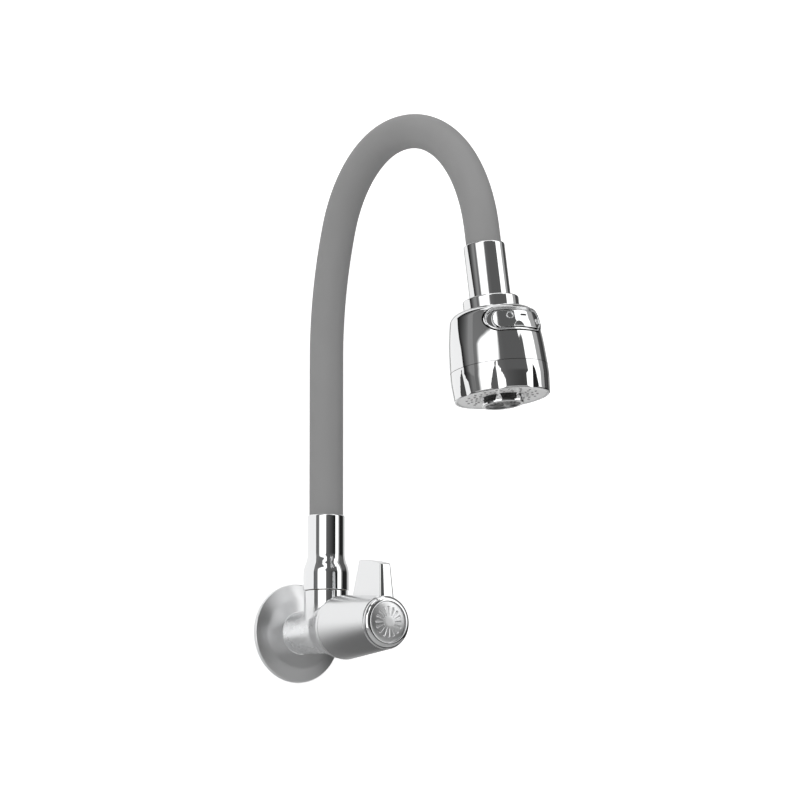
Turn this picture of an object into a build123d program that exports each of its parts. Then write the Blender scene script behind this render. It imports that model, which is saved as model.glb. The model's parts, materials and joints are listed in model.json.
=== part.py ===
from build123d import *
import os
from math import cos, pi, radians, sin

# Wall faucet for a utility sink, in millimetres, +Z up. The wall is the plane y = 0 and the room is
# on its -Y side. The origin is where the axis of the inlet crosses the wall.

os.makedirs("parts", exist_ok=True)

# One overrun serves every cut that has to leave the material
overrun = 2.0
# Clearances, radial or axial, that several pieces share
running_gap = 0.08
loose_gap = 0.3
seal_gap = 0.03
crimp_gap = 0.02

# Inlet shank and valve body, sizes along the body are distances from the wall
shank_radius = 10.48
shank_length = 16.0
shank_chamfer = 1.2
shank_shoulder = 1.5
inlet_bore_radius = 6.0
body_radius_at_wall = 12.7
body_radius_at_waist = 14.5
waist_round = 14.0
shoulder_radius = 18.9
shoulder_round = 1.4
shoulder_land = 2.2
shoulder_flare = 15.0
body_length = 55.2
shoulder_distance = body_length - shoulder_land
waist_distance = shoulder_distance - shoulder_flare
chamber_radius = 9.6
chamber_depth = 29.2
seat_distance = body_length - chamber_depth
bonnet_thread_radius = 10.6
bonnet_thread_length = 10.2
bonnet_thread_distance = body_length - bonnet_thread_length

# Riser stub on the body
riser_distance = 35.0
stub_radius = 13.35
stub_top = 23.5
stub_bore_radius = 9.2
stub_bore_floor = 12.5
stub_passage_radius = 5.5
snap_ring_height = 20.7
snap_ring_thickness = 1.2
snap_ring_width = 1.5
snap_ring_gap_angle = 24.0

# Wall flange
flange_radius = 30.3
flange_rim_height = 2.2
flange_rim_round = 0.9
flange_knee_radius = 22.0
flange_knee_height = 4.3
flange_knee_round = 24.0
flange_height = 5.6
flange_wall = 1.2
flange_seal_width = 3.0
flange_seal_thickness = 1.0

# Inlet strainer
strainer_thickness = 1.6
strainer_rim = 1.1
strainer_hole_radius = 0.7
strainer_hole_count = 6

# Ceramic headwork
seat_seal_thickness = 1.5
seat_seal_bore_radius = 4.6
disc_radius = 6.3
disc_thickness = 3.0
disc_port_radius = 1.7
disc_port_distance = 3.4
disc_slot_width = 2.6
disc_slot_depth = 1.0
bonnet_skirt_radius = 7.5
bonnet_window_height = 5.0
bonnet_window_width = 6.0
bonnet_flange_radius = 13.0
bonnet_flange_thickness = 1.8
bonnet_hex_width = 19.0
bonnet_hex_thickness = 5.5
bonnet_nose_radius = 6.6
bonnet_nose_length = 12.8
bonnet_nose_end = body_length + bonnet_nose_length
spindle_radius = 3.95
spindle_flange_thickness = 2.6
spindle_groove_depth = 0.9
spindle_seal_depth = 11.2
spindle_seal_distance = body_length - spindle_seal_depth
circlip_thickness = 0.8
circlip_radius = 5.6
circlip_opening_angle = 70.0
drive_width = 5.4
drive_length = 11.2
drive_end = bonnet_nose_end + circlip_thickness * 3 + loose_gap + drive_length

# Handle knob with its lever blade
knob_gap = 0.8
knob_rear = body_length + knob_gap
knob_rear_radius = 19.6
knob_length = 45.8
knob_front = knob_rear + knob_length
knob_front_radius = 16.3
knob_edge_round = 0.7
knob_land_radius = 15.6
knob_land_step = 0.6
knob_land_round = 0.4
knob_bevel_length = 3.4
knob_bevel_end = knob_front + knob_bevel_length
knob_bevel_radius = 13.0
knob_skirt_depth = 15.0
knob_wall = 2.2
knob_boss_radius = 8.2
screw_well_radius = 5.0
screw_seat_depth = 21.2
screw_seat_distance = knob_bevel_end - screw_seat_depth
blade_base_length = 33.2
blade_base_front = knob_bevel_end - knob_land_step * 2
blade_base_rear = blade_base_front - blade_base_length
blade_tip_length = 24.8
blade_tip_setback = 3.5
blade_tip_front = knob_bevel_end - blade_tip_setback
blade_tip_rear = blade_tip_front - blade_tip_length
blade_rear_height = 39.1
blade_front_height = 35.0
blade_crown = 0.9
blade_base_thickness = 8.2
blade_tip_thickness = 5.2
blade_edge_round = 1.7

# Handle screw
screw_head_radius = 4.4
screw_head_height = 3.2
screw_shank_radius = 2.4
screw_length = 12.0
screw_hex_width = 3.0
screw_hex_depth = 2.0

# Rosette cap on the front of the knob
cap_radius = 12.5
cap_step = 0.5
cap_sink = 0.2
cap_rim_distance = knob_bevel_end - cap_sink
cap_rise = 1.3
cap_thickness = 3.0
petal_count = 16
petal_inner = 3.8
petal_outer = 9.7
petal_tip_radius = 0.25
petal_end_radius = 1.0
petal_sink_share = 0.45

# Neck route: a straight riser, then tangent arcs over the crown and down into the spray head
riser_straight_top = 166.4
neck_turn_angles = (20.5, 61.8, 85.8, 5.4)
neck_radii = (228.0, 73.0, 87.6, 124.7)
last_arc_roll_angle = 32.0
lower_arc_count = 2

# Layers of the neck
sleeve_radius = 10.3
sleeve_wall = 2.2
conduit_radius = 7.8
conduit_wall = 1.4
tube_radius = 6.1
tube_wall = 1.5

# Lower ferrule and swivel nipple, heights above the inlet axis
swivel_seam = 0.3
ferrule_radius = 14.0
ferrule_shoulder_height = 36.9
ferrule_neck_radius = 11.4
ferrule_neck_height = 43.2
ferrule_top = 70.0
ferrule_shoulder_round = 15.0
ferrule_lip_round = 1.0
ferrule_wall = 1.15
nipple_flange_height = 7.5
barb_length = 27.0
barb_step = 4.5
barb_depth = 0.35
water_radius = 3.2
o_ring_radius = 0.9
o_ring_pitch = 3.2
first_o_ring_height = 15.2

# Spray head, measured along its own axis from the top of its ferrule
head_ferrule_radius = 12.1
head_ferrule_length = 34.7
head_ferrule_step = 23.0
head_nipple_radius = 11.0
shoulder_top = 35.5
shoulder_thickness = 2.2
shoulder_flange_radius = 13.0
tail_radius = 6.5
tail_end = 46.0
head_o_ring_distance = 41.0
collar_top = 32.9
collar_radius = 16.45
collar_round = 0.9
collar_seat = 39.82
collar_skirt_radius = 15.0
collar_skirt_end = 43.8
collar_lip_bore_radius = 12.4
collar_bore_radius = 13.3

# Head shell outline
shell_top_radius = 16.8
shell_shoulder_radius = 24.6
shell_shoulder_distance = 42.0
shell_shoulder_round = 6.0
shell_cheek_radius = 27.4
shell_cheek_distance = 55.0
shell_cheek_round = 60.0
shell_skirt_radius = 28.6
seam_distance = 75.2
shell_wall = 2.0
seam_gap = 0.25

# Lower bezel with its grip flutes
bezel_bottom = 91.8
bezel_bottom_radius = 28.0
bezel_bulge_radius = 28.75
bezel_bulge_distance = 80.5
bezel_bulge_round = 40.0
bezel_bottom_round = 1.0
bezel_bore_radius = 26.4
bezel_skirt_depth = 4.5
bezel_skirt_wall = 1.2
flute_count = 7
flute_clock_angle = -14.3
flute_top = 77.6
flute_width = 8.8
flute_depth = 1.5

# Spray face, nozzle mat and aerator
face_recess = 0.6
face_thickness = 2.4
mat_thickness = 2.2
nozzle_row_count = 18
nozzle_ring_count = 3
nozzle_first_ring = 15.2
nozzle_ring_pitch = 2.7
nozzle_sweep_angle = 6.5
nozzle_radius = 0.75
nozzle_tip_radius = 0.6
nozzle_hole_radius = 0.3
nozzle_rise = 0.4
aerator_radius = 12.4
aerator_lip_radius = 12.1
aerator_bottom = 96.1
aerator_top = 78.0
aerator_thread_radius = 10.9
aerator_shoulder = 86.0
aerator_wall = 2.2
aerator_groove_radius = 11.8
aerator_groove_width = 1.3
insert_recess = 1.6
insert_length = 8.0
insert_ring_count = 3
insert_ring_groove = 0.8
insert_ring_depth = 1.0
insert_spoke_count = 8
insert_spoke_width = 0.9

# Water distributor in the head
distributor_neck_top = 38.0
distributor_neck_end = 45.3
distributor_radius = 19.0
distributor_flare_start = 60.0
distributor_flare_end = 68.0
distributor_flange_radius = 24.9
distributor_end = 84.5
distributor_bore_radius = 4.5
distributor_tube_wall = 2.0
rocker_notch_width = 15.0

# Mode rocker and its frame, on the front of the head
frame_width = 40.0
frame_height = 15.2
frame_band = 2.1
frame_proud = 0.9
frame_lip = 1.0
frame_ledge = 0.5
rocker_distance = 50.7
rocker_gap = 0.4
rocker_sink = 0.1
rocker_plate = 2.6
rocker_dish_radius = 60.0
rocker_dish_depth = 0.9
rocker_turn_angle = 8.0
rocker_pivot = 16.6
rocker_hub_radius = 2.6
rocker_pin_radius = 1.1
rocker_pin_top = 43.5
rocker_pin_length = 17.7
rocker_arm_width = 2.4
rocker_arm_reach = 6.5
scoop_radius = 6.5
scoop_depth = 1.9
scoop_distance = 12.6
slide_width = 9.0
slide_depth = 5.0
slide_height = 5.0


def turned(*corners):
    """Solid turned about Z from corners (radius, height) or (radius, height, round)."""
    outline = Polyline(*[(corner[0], 0, corner[1]) for corner in corners], close=True)
    section = make_face(outline).face()
    for corner in corners:
        if len(corner) == 3:
            here = Vector(corner[0], 0, corner[1])
            nearest = section.vertices().sort_by_distance(here)[0]
            section = section.fillet_2d(corner[2], [nearest])
    return revolve(section, Axis.Z)


def rod(radius, low, high):
    """Cylinder about Z between two heights."""
    return Pos(0, 0, low) * Cylinder(radius, high - low, align=(Align.CENTER, Align.CENTER, Align.MIN))


def ring(outer, inner, low, high):
    """Plain ring about Z between two heights."""
    return turned((inner, low), (outer, low), (outer, high), (inner, high))


def block(width, depth, low, high):
    """Square block about Z between two heights."""
    return Pos(0, 0, low) * Box(width, depth, high - low, align=(Align.CENTER, Align.CENTER, Align.MIN))


def seal_ring(groove_bottom, bore, height):
    """O-ring that fills the space between a groove and its bore, less the seal gap on each side."""
    section = (bore - groove_bottom) / 2 - seal_gap
    return Pos(0, 0, height) * Torus((bore + groove_bottom) / 2, section)


def open_ring(outer, inner, low, high, opening):
    """Ring with a wedge of the given angle cut out on its +X side, as in a circlip."""
    reach = outer + overrun
    half = radians(opening / 2)
    wedge = Polyline((0, 0), (reach, -reach * sin(half)), (reach, reach * sin(half)), close=True)
    gap = extrude(make_face(wedge), amount=high + overrun)
    return ring(outer, inner, low, high) - gap


# Valve pieces are drawn with Z as the distance from the wall
def on_valve(shape):
    return Rot(X=90) * shape


# Riser pieces are drawn with Z as the height above the inlet axis
def on_riser(shape):
    return Pos(0, -riser_distance, 0) * shape


def neck_segments():
    """Straight runs and arcs of the neck: start, tangent, then centre, axis and turn of an arc."""
    start = Vector(0, -riser_distance, riser_straight_top)
    tangent = Vector(0, 0, 1)
    inward = Vector(0, -1, 0)
    segments = []
    for index, (turn, radius) in enumerate(zip(neck_turn_angles, neck_radii)):
        if index == len(neck_turn_angles) - 1:
            inward = inward.rotate(Axis((0, 0, 0), tangent), last_arc_roll_angle)
        axis = tangent.cross(inward)
        centre = start + inward * radius
        segments.append((start, tangent, centre, axis, turn, radius))
        turning = Axis(centre, axis)
        start = centre + (start - centre).rotate(Axis((0, 0, 0), axis), turn)
        tangent = tangent.rotate(Axis((0, 0, 0), axis), turn)
        inward = inward.rotate(Axis((0, 0, 0), axis), turn)
    segments.append((start, tangent, None, None, 0, 0))
    return segments


def head_plane():
    """Frame of the spray head: origin at the top of its ferrule, Z back up along the neck."""
    end, tangent = neck_segments()[-1][:2]
    up = tangent * -1
    side = up.cross(Vector(1, 0, 0)).cross(up)
    return Plane(origin=end, x_dir=side, z_dir=up)


# Head pieces are drawn with Z as the distance down from the top of the head's ferrule
def on_head(shape):
    return head_plane().location * Rot(X=180) * shape


def annulus(origin, normal, outer, inner):
    return Plane(origin=origin, z_dir=normal) * (Circle(outer) - Circle(inner))


def straight_layer(origin, direction, length, outer, inner):
    return extrude(annulus(origin, direction, outer, inner), amount=length, dir=direction)


def arc_layers(segments, outer, inner):
    pieces = []
    for start, tangent, centre, axis, turn, radius in segments:
        section = annulus(start, tangent, outer, inner)
        pieces.append(revolve(section, Axis(centre, axis), turn))
    return pieces


def joined(pieces):
    whole = pieces[0]
    for piece in pieces[1:]:
        whole = whole + piece
    return whole


def lower_stretch(outer, wall, bottom):
    """One layer of the neck from a height inside the lower ferrule up to the crown."""
    inner = outer - wall
    origin = Vector(0, -riser_distance, bottom)
    run = straight_layer(origin, Vector(0, 0, 1), riser_straight_top - bottom, outer, inner)
    return joined([run] + arc_layers(neck_segments()[:lower_arc_count], outer, inner))


def upper_stretch(outer, wall, depth):
    """One layer of the neck from the crown to a depth inside the head's ferrule."""
    inner = outer - wall
    segments = neck_segments()
    end, tangent = segments[-1][:2]
    run = straight_layer(end, tangent, depth, outer, inner)
    return joined(arc_layers(segments[lower_arc_count:-1], outer, inner) + [run])


# Valve body and what is fixed to it
def faucet_body():
    outside = turned(
        (0, -shank_length),
        (shank_radius - shank_chamfer, -shank_length),
        (shank_radius, shank_chamfer - shank_length),
        (shank_radius, shank_shoulder),
        (body_radius_at_wall, shank_shoulder),
        (body_radius_at_waist, waist_distance, waist_round),
        (shoulder_radius, shoulder_distance, shoulder_round),
        (shoulder_radius, body_length),
        (0, body_length),
    )
    waterway = turned(
        (0, -shank_length - overrun),
        (inlet_bore_radius, -shank_length - overrun),
        (inlet_bore_radius, seat_distance),
        (chamber_radius, seat_distance),
        (chamber_radius, bonnet_thread_distance),
        (bonnet_thread_radius, bonnet_thread_distance),
        (bonnet_thread_radius, body_length + overrun),
        (0, body_length + overrun),
    )
    socket = turned(
        (0, 0),
        (stub_passage_radius, 0),
        (stub_passage_radius, stub_bore_floor),
        (stub_bore_radius, stub_bore_floor),
        (stub_bore_radius, snap_ring_height),
        (stub_bore_radius + snap_ring_width / 2, snap_ring_height),
        (stub_bore_radius + snap_ring_width / 2, snap_ring_top()),
        (stub_bore_radius, snap_ring_top()),
        (stub_bore_radius, stub_top + overrun),
        (0, stub_top + overrun),
    )
    body = on_valve(outside) + on_riser(rod(stub_radius, 0, stub_top))
    return body - on_valve(waterway) - on_riser(socket)


def snap_ring_top():
    return snap_ring_height + snap_ring_thickness + loose_gap


def snap_ring():
    outer = stub_bore_radius + snap_ring_width / 2 - crimp_gap
    low = snap_ring_height + loose_gap / 2
    high = low + snap_ring_thickness
    return on_riser(open_ring(outer, outer - snap_ring_width, low, high, snap_ring_gap_angle))


def flange_corners(inset):
    bore = body_radius_at_wall + loose_gap + loose_gap / 2
    return (
        (bore, flange_height - inset),
        (flange_knee_radius, flange_knee_height - inset, flange_knee_round),
        (flange_radius - inset, flange_rim_height - inset / 2, flange_rim_round),
        (flange_radius - inset, 0),
        (bore, 0),
    )


def wall_flange():
    hollow = turned(*flange_corners(flange_wall))
    return on_valve(turned(*flange_corners(0)) - hollow)


def flange_seal():
    outer = flange_radius - flange_wall - loose_gap / 2
    inner = outer - flange_seal_width
    return on_valve(ring(outer, inner, 0, flange_seal_thickness - loose_gap / 2))


def inlet_strainer():
    outer = inlet_bore_radius - crimp_gap
    low = -shank_length
    disc = rod(outer, low, low + strainer_thickness)
    hollow = rod(outer - strainer_rim, low, low + strainer_thickness / 2)
    pattern = PolarLocations((outer - strainer_rim) / 2, strainer_hole_count)
    holes = [place * rod(strainer_hole_radius, low, overrun) for place in pattern]
    centre = rod(strainer_hole_radius, low, overrun)
    return on_valve(disc - hollow - holes - centre)


def seat_seal():
    outer = chamber_radius - loose_gap
    high = seat_distance + seat_seal_thickness
    return on_valve(ring(outer, seat_seal_bore_radius, seat_distance, high))


def disc_foot():
    return seat_distance + seat_seal_thickness


def bonnet():
    foot = disc_foot()
    flange = body_length + bonnet_flange_thickness
    nose = flange + bonnet_hex_thickness
    ceiling = foot + disc_thickness * 2 + spindle_flange_thickness + loose_gap
    outer = turned(
        (0, foot),
        (bonnet_skirt_radius, foot),
        (bonnet_skirt_radius, bonnet_thread_distance),
        (bonnet_thread_radius - crimp_gap, bonnet_thread_distance + loose_gap),
        (bonnet_thread_radius - crimp_gap, body_length),
        (bonnet_flange_radius, body_length),
        (bonnet_flange_radius, flange),
        (bonnet_nose_radius, flange),
        (bonnet_nose_radius, bonnet_nose_end),
        (0, bonnet_nose_end),
    )
    hexagon = RegularPolygon(bonnet_hex_width / 2, 6, major_radius=False)
    shape = outer + Pos(0, 0, flange) * extrude(hexagon, amount=nose - flange)
    shape = shape - rod(disc_radius + loose_gap, foot - overrun, ceiling)
    shape = shape - rod(spindle_radius + running_gap, foot, bonnet_nose_end + overrun)
    window = Pos(0, 0, foot + disc_thickness) * Box(
        bonnet_skirt_radius * 3,
        bonnet_window_width,
        bonnet_window_height,
        align=(Align.CENTER, Align.CENTER, Align.MIN),
    )
    return on_valve(shape - window)


def fixed_disc():
    foot = disc_foot()
    disc = rod(disc_radius, foot, foot + disc_thickness)
    port = rod(disc_port_radius, foot - overrun, body_length)
    ports = [place * port for place in PolarLocations(disc_port_distance, 2)]
    return on_valve(disc - ports)


# Pieces that turn with the handle
def moving_disc():
    foot = disc_foot() + disc_thickness
    disc = rod(disc_radius, foot, foot + disc_thickness)
    port = rod(disc_port_radius, foot - overrun, body_length)
    ports = [place * port for place in PolarLocations(disc_port_distance, 2, 90)]
    slot_foot = foot + disc_thickness - disc_slot_depth
    slot = block(disc_radius * 3, disc_slot_width, slot_foot, slot_foot + overrun)
    return on_valve(disc - ports - slot)


def spindle_shoulder():
    """Distance at which the round shaft ends and its square drive begins."""
    return bonnet_nose_end + loose_gap + crimp_gap + circlip_thickness * 3


def spindle():
    foot = disc_foot() + disc_thickness * 2
    flange_end = foot + spindle_flange_thickness
    groove = spindle_radius - spindle_groove_depth
    seal_low = spindle_seal_distance - spindle_groove_depth
    seal_high = spindle_seal_distance + spindle_groove_depth
    clip_low = bonnet_nose_end + loose_gap
    clip_high = clip_low + circlip_thickness + crimp_gap
    shaft_end = spindle_shoulder()
    shape = turned(
        (0, foot),
        (disc_radius, foot),
        (disc_radius, flange_end),
        (spindle_radius, flange_end),
        (spindle_radius, seal_low),
        (groove, seal_low),
        (groove, seal_high),
        (spindle_radius, seal_high),
        (spindle_radius, clip_low),
        (groove, clip_low),
        (groove, clip_high),
        (spindle_radius, clip_high),
        (spindle_radius, shaft_end),
        (0, shaft_end),
    )
    tang_foot = foot - disc_slot_depth + running_gap
    tang = block(disc_radius * 2 - disc_slot_depth, disc_slot_width - running_gap * 2, tang_foot, foot)
    shape = shape + tang + block(drive_width, drive_width, shaft_end, drive_end)
    screw_hole = rod(screw_shank_radius + crimp_gap, drive_end - screw_length, drive_end + overrun)
    return on_valve(shape - screw_hole)


def spindle_seal():
    groove = spindle_radius - spindle_groove_depth
    return on_valve(seal_ring(groove, spindle_radius + running_gap, spindle_seal_distance))


def circlip():
    low = bonnet_nose_end + loose_gap + crimp_gap / 2
    inner = spindle_radius - spindle_groove_depth + crimp_gap
    return on_valve(open_ring(circlip_radius, inner, low, low + circlip_thickness, circlip_opening_angle))


def blade_section(height):
    """Rounded oblong of the blade at a height above the axis, X of its plane away from the wall."""
    climb = (height - knob_front_radius) / (blade_rear_height - knob_front_radius)
    rear = blade_base_rear + (blade_tip_rear - blade_base_rear) * climb
    front = blade_base_front + (blade_tip_front - blade_base_front) * climb
    thickness = blade_base_thickness + (blade_tip_thickness - blade_base_thickness) * climb
    level = Plane(origin=(0, height, (rear + front) / 2), x_dir=(0, 0, 1), z_dir=(0, 1, 0))
    return level * RectangleRounded(front - rear, thickness, blade_edge_round)


def blade():
    """Lever blade: thins and narrows upward from inside the knob to a crowned, sloping tip."""
    high = blade_rear_height + overrun
    body = loft([blade_section(knob_boss_radius), blade_section(high)])
    crown = (
        (blade_tip_rear + blade_tip_front) / 2,
        (blade_rear_height + blade_front_height) / 2 + blade_crown,
    )
    tip = ThreePointArc((blade_tip_rear, blade_rear_height), crown, (blade_tip_front, blade_front_height))
    waste = Polyline(
        (blade_tip_front, blade_front_height),
        (blade_base_front + overrun, blade_front_height),
        (blade_base_front + overrun, high + overrun),
        (blade_base_rear, high + overrun),
        (blade_base_rear, blade_rear_height),
        (blade_tip_rear, blade_rear_height),
    )
    side = Plane(origin=(0, 0, 0), x_dir=(0, 0, 1), z_dir=(-1, 0, 0))
    above = extrude(side * make_face([tip, waste]), amount=blade_base_thickness, both=True)
    return body - above


def handle_knob():
    outer = turned(
        (0, knob_rear),
        (knob_rear_radius, knob_rear, knob_edge_round),
        (knob_front_radius, knob_front, knob_land_round),
        (knob_land_radius, knob_front),
        (knob_land_radius, knob_front + knob_land_step),
        (knob_bevel_radius, knob_bevel_end),
        (0, knob_bevel_end),
    )
    shape = outer + blade()
    skirt = turned(
        (0, knob_rear - overrun),
        (knob_rear_radius - knob_wall, knob_rear - overrun),
        (knob_rear_radius - knob_wall * 1.5, knob_rear + knob_skirt_depth),
        (knob_boss_radius, knob_rear + knob_skirt_depth),
        (knob_boss_radius, spindle_shoulder() + loose_gap),
        (0, spindle_shoulder() + loose_gap),
    )
    well = rod(screw_well_radius, screw_seat_distance, knob_bevel_end + overrun)
    seat = rod(cap_radius + loose_gap / 2, cap_rim_distance - cap_thickness, knob_bevel_end + overrun)
    hollow_top = cap_rim_distance - cap_thickness + overrun
    hollow = rod(cap_radius - knob_wall, screw_seat_distance + knob_wall, hollow_top)
    socket_width = drive_width + crimp_gap * 2
    socket = block(socket_width, socket_width, knob_rear, drive_end)
    screw_hole = rod(screw_shank_radius + loose_gap / 2, knob_rear, knob_bevel_end)
    return on_valve(shape - skirt - well - seat - hollow - socket - screw_hole)


def handle_screw():
    head = turned(
        (0, screw_seat_distance),
        (screw_head_radius, screw_seat_distance),
        (screw_head_radius, screw_seat_distance + screw_head_height, knob_edge_round),
        (0, screw_seat_distance + screw_head_height),
    )
    shank = rod(screw_shank_radius, drive_end - screw_length + knob_edge_round, screw_seat_distance)
    top = screw_seat_distance + screw_head_height
    hexagon = RegularPolygon(screw_hex_width / 2, 6, major_radius=False)
    socket = extrude(hexagon, amount=overrun + screw_hex_depth)
    return on_valve(head + shank - Pos(0, 0, top - screw_hex_depth) * socket)


def petal():
    """Drop-shaped flute that widens outward, lying along X."""
    length = petal_outer - petal_inner
    rim = (petal_end_radius, length - petal_end_radius)
    arc_mid = (petal_end_radius * cos(pi / 4), 0, length - petal_end_radius + petal_end_radius * sin(pi / 4))
    side = Polyline((0, 0, 0), (petal_tip_radius, 0, 0), (rim[0], 0, rim[1]))
    end = ThreePointArc((rim[0], 0, rim[1]), arc_mid, (0, 0, length))
    back = Line((0, 0, length), (0, 0, 0))
    drop = revolve(make_face([side, end, back]), Axis.Z)
    return Pos(petal_inner, 0, 0) * Rot(Y=90) * drop


def dome_radius():
    """Radius of the sphere of which the cap's front is a part."""
    edge = cap_radius - cap_step
    return (edge**2 + cap_rise**2) / (cap_rise * 2)


def dome_height(distance):
    """Distance from the wall of the cap's front at a distance from its axis."""
    centre = cap_rim_distance + cap_rise - dome_radius()
    return centre + (dome_radius() ** 2 - distance**2) ** 0.5


def rosette_cap():
    rim = cap_rim_distance
    edge = cap_radius - cap_step
    middle = edge / 2
    dome = ThreePointArc((edge, 0, rim), (middle, 0, dome_height(middle)), (0, 0, rim + cap_rise))
    side = Polyline(
        (0, 0, rim + cap_rise),
        (0, 0, rim - cap_thickness),
        (cap_radius, 0, rim - cap_thickness),
        (cap_radius, 0, rim - cap_step),
        (edge, 0, rim),
    )
    cap = revolve(make_face([dome, side]), Axis.Z)
    lift = dome_height((petal_inner + petal_outer) / 2) + petal_end_radius * petal_sink_share
    flutes = [place * petal() for place in PolarLocations(0, petal_count)]
    return on_valve(cap - [Pos(0, 0, lift) * flute for flute in flutes])


# Pieces that turn on the riser
def nipple_groove_radius():
    return stub_bore_radius - o_ring_radius * 2 + seal_gap


def barbed(radius, low, high, step):
    """Corners of a hose barb from low to high, without its inner wall."""
    corners = []
    height = low
    while height + step < high:
        corners.append((radius, height))
        corners.append((radius - barb_depth, height + step))
        height = height + step
    return corners


def swivel_nipple():
    outer = stub_bore_radius - running_gap
    base = stub_top + swivel_seam
    flange = base + nipple_flange_height
    foot = stub_bore_floor + loose_gap
    shape = ring(outer, water_radius, foot, base)
    shape = shape + ring(ferrule_radius - ferrule_wall - crimp_gap, water_radius, base, flange)
    groove = nipple_groove_radius()
    for index in range(2):
        height = first_o_ring_height + index * o_ring_pitch
        shape = shape - ring(outer + overrun, groove, height - o_ring_radius, height + o_ring_radius)
    clip_bottom = stub_bore_radius + snap_ring_width / 2 - snap_ring_width - loose_gap
    clip_low = snap_ring_height - loose_gap
    shape = shape - ring(outer + overrun, clip_bottom, clip_low, snap_ring_top() + loose_gap)
    barb_top = flange + barb_length
    barb_radius = tube_radius - tube_wall - crimp_gap
    corners = barbed(barb_radius, flange, barb_top, barb_step)
    last = corners[-1][1]
    barb = turned((water_radius, flange), *corners, (water_radius, last))
    return on_riser(shape + barb)


def swivel_seals():
    heights = [first_o_ring_height + index * o_ring_pitch for index in range(2)]
    return [on_riser(seal_ring(nipple_groove_radius(), stub_bore_radius, height)) for height in heights]


def lower_ferrule():
    foot = stub_top + swivel_seam
    bore = sleeve_radius + running_gap
    return on_riser(
        turned(
            (ferrule_radius - ferrule_wall, foot),
            (ferrule_radius, foot),
            (ferrule_radius, ferrule_shoulder_height, ferrule_shoulder_round),
            (ferrule_neck_radius, ferrule_neck_height, ferrule_shoulder_round),
            (ferrule_neck_radius, ferrule_top, ferrule_lip_round),
            (bore, ferrule_top),
            (bore, ferrule_neck_height),
            (ferrule_radius - ferrule_wall, ferrule_shoulder_height - ferrule_wall),
        )
    )


def nipple_top():
    return stub_top + swivel_seam + nipple_flange_height


# Pieces on the upper end of the neck
def head_ferrule():
    bore = sleeve_radius + running_gap
    lower_bore = head_nipple_radius + crimp_gap
    return on_head(
        turned(
            (bore, 0),
            (head_ferrule_radius, 0, ferrule_lip_round),
            (head_ferrule_radius, head_ferrule_length),
            (lower_bore, head_ferrule_length),
            (lower_bore, head_ferrule_step),
            (bore, head_ferrule_step),
        )
    )


def head_nipple():
    top = head_ferrule_step + loose_gap
    barb_top = top - barb_length / 2
    barb_radius = tube_radius - tube_wall - crimp_gap
    flange = ring(head_nipple_radius, water_radius, top, shoulder_top)
    corners = barbed(barb_radius, barb_top, top, barb_step)
    last = corners[-1][1]
    barb = turned((water_radius, barb_top), *corners, (water_radius, last))
    barb = barb + ring(barb_radius - barb_depth, water_radius, last, top)
    shoulder = ring(shoulder_flange_radius, water_radius, shoulder_top, shoulder_top + shoulder_thickness)
    tail = ring(tail_radius, water_radius, shoulder_top + shoulder_thickness, tail_end)
    groove = ring(
        tail_radius + overrun,
        head_groove_radius(),
        head_o_ring_distance - o_ring_radius,
        head_o_ring_distance + o_ring_radius,
    )
    return on_head(flange + barb + shoulder + tail - groove)


def head_groove_radius():
    return tail_radius + running_gap - o_ring_radius * 2 + seal_gap


def head_seal():
    return on_head(seal_ring(head_groove_radius(), tail_radius + running_gap, head_o_ring_distance))


# Pieces of the spray head
def collar():
    return on_head(
        turned(
            (collar_lip_bore_radius, collar_top),
            (collar_radius, collar_top, collar_round),
            (collar_radius, collar_seat),
            (collar_skirt_radius, collar_seat),
            (collar_skirt_radius, collar_skirt_end),
            (collar_bore_radius, collar_skirt_end),
            (collar_bore_radius, shoulder_top - loose_gap),
            (collar_lip_bore_radius, shoulder_top - loose_gap),
        )
    )


def head_form(inset):
    """Solid of the head's outline, drawn in by an inset."""
    crown = collar_seat + running_gap + inset
    drop = (shell_shoulder_distance - collar_seat) * (shell_top_radius / shell_shoulder_radius)
    return turned(
        (0, crown),
        (shell_top_radius, crown),
        (shell_shoulder_radius - inset, crown + drop, shell_shoulder_round),
        (shell_cheek_radius - inset, shell_cheek_distance, shell_cheek_round),
        (shell_skirt_radius - inset, seam_distance),
        (0, seam_distance),
    )


def front_slot(width, height):
    """Rounded bar that passes out through the front of the head at the rocker."""
    level = Plane(origin=(0, 0, rocker_distance), x_dir=(1, 0, 0), z_dir=(0, 1, 0))
    return extrude(level * SlotOverall(width, height), amount=shell_skirt_radius + overrun)


def head_shell():
    shell = head_form(0) - head_form(shell_wall)
    skirt_top = seam_distance + seam_gap - bezel_skirt_depth - loose_gap
    shell = shell - rod(shell_skirt_radius - shell_wall, skirt_top, seam_distance + overrun)
    shell = shell - rod(collar_skirt_radius + loose_gap / 2, collar_top, collar_skirt_end + overrun)
    return on_head(shell - front_slot(frame_width + crimp_gap * 2, frame_height + crimp_gap * 2))


def rocker_frame():
    proud = head_form(-frame_proud) - head_form(shell_wall)
    opening = front_slot(frame_width - frame_band * 2, frame_height - frame_band * 2)
    frame = (proud & front_slot(frame_width, frame_height)) - opening
    ledge = front_slot(frame_width - frame_lip * 2, frame_height - frame_lip * 2) - head_form(frame_ledge)
    return on_head(frame - ledge)


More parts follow.
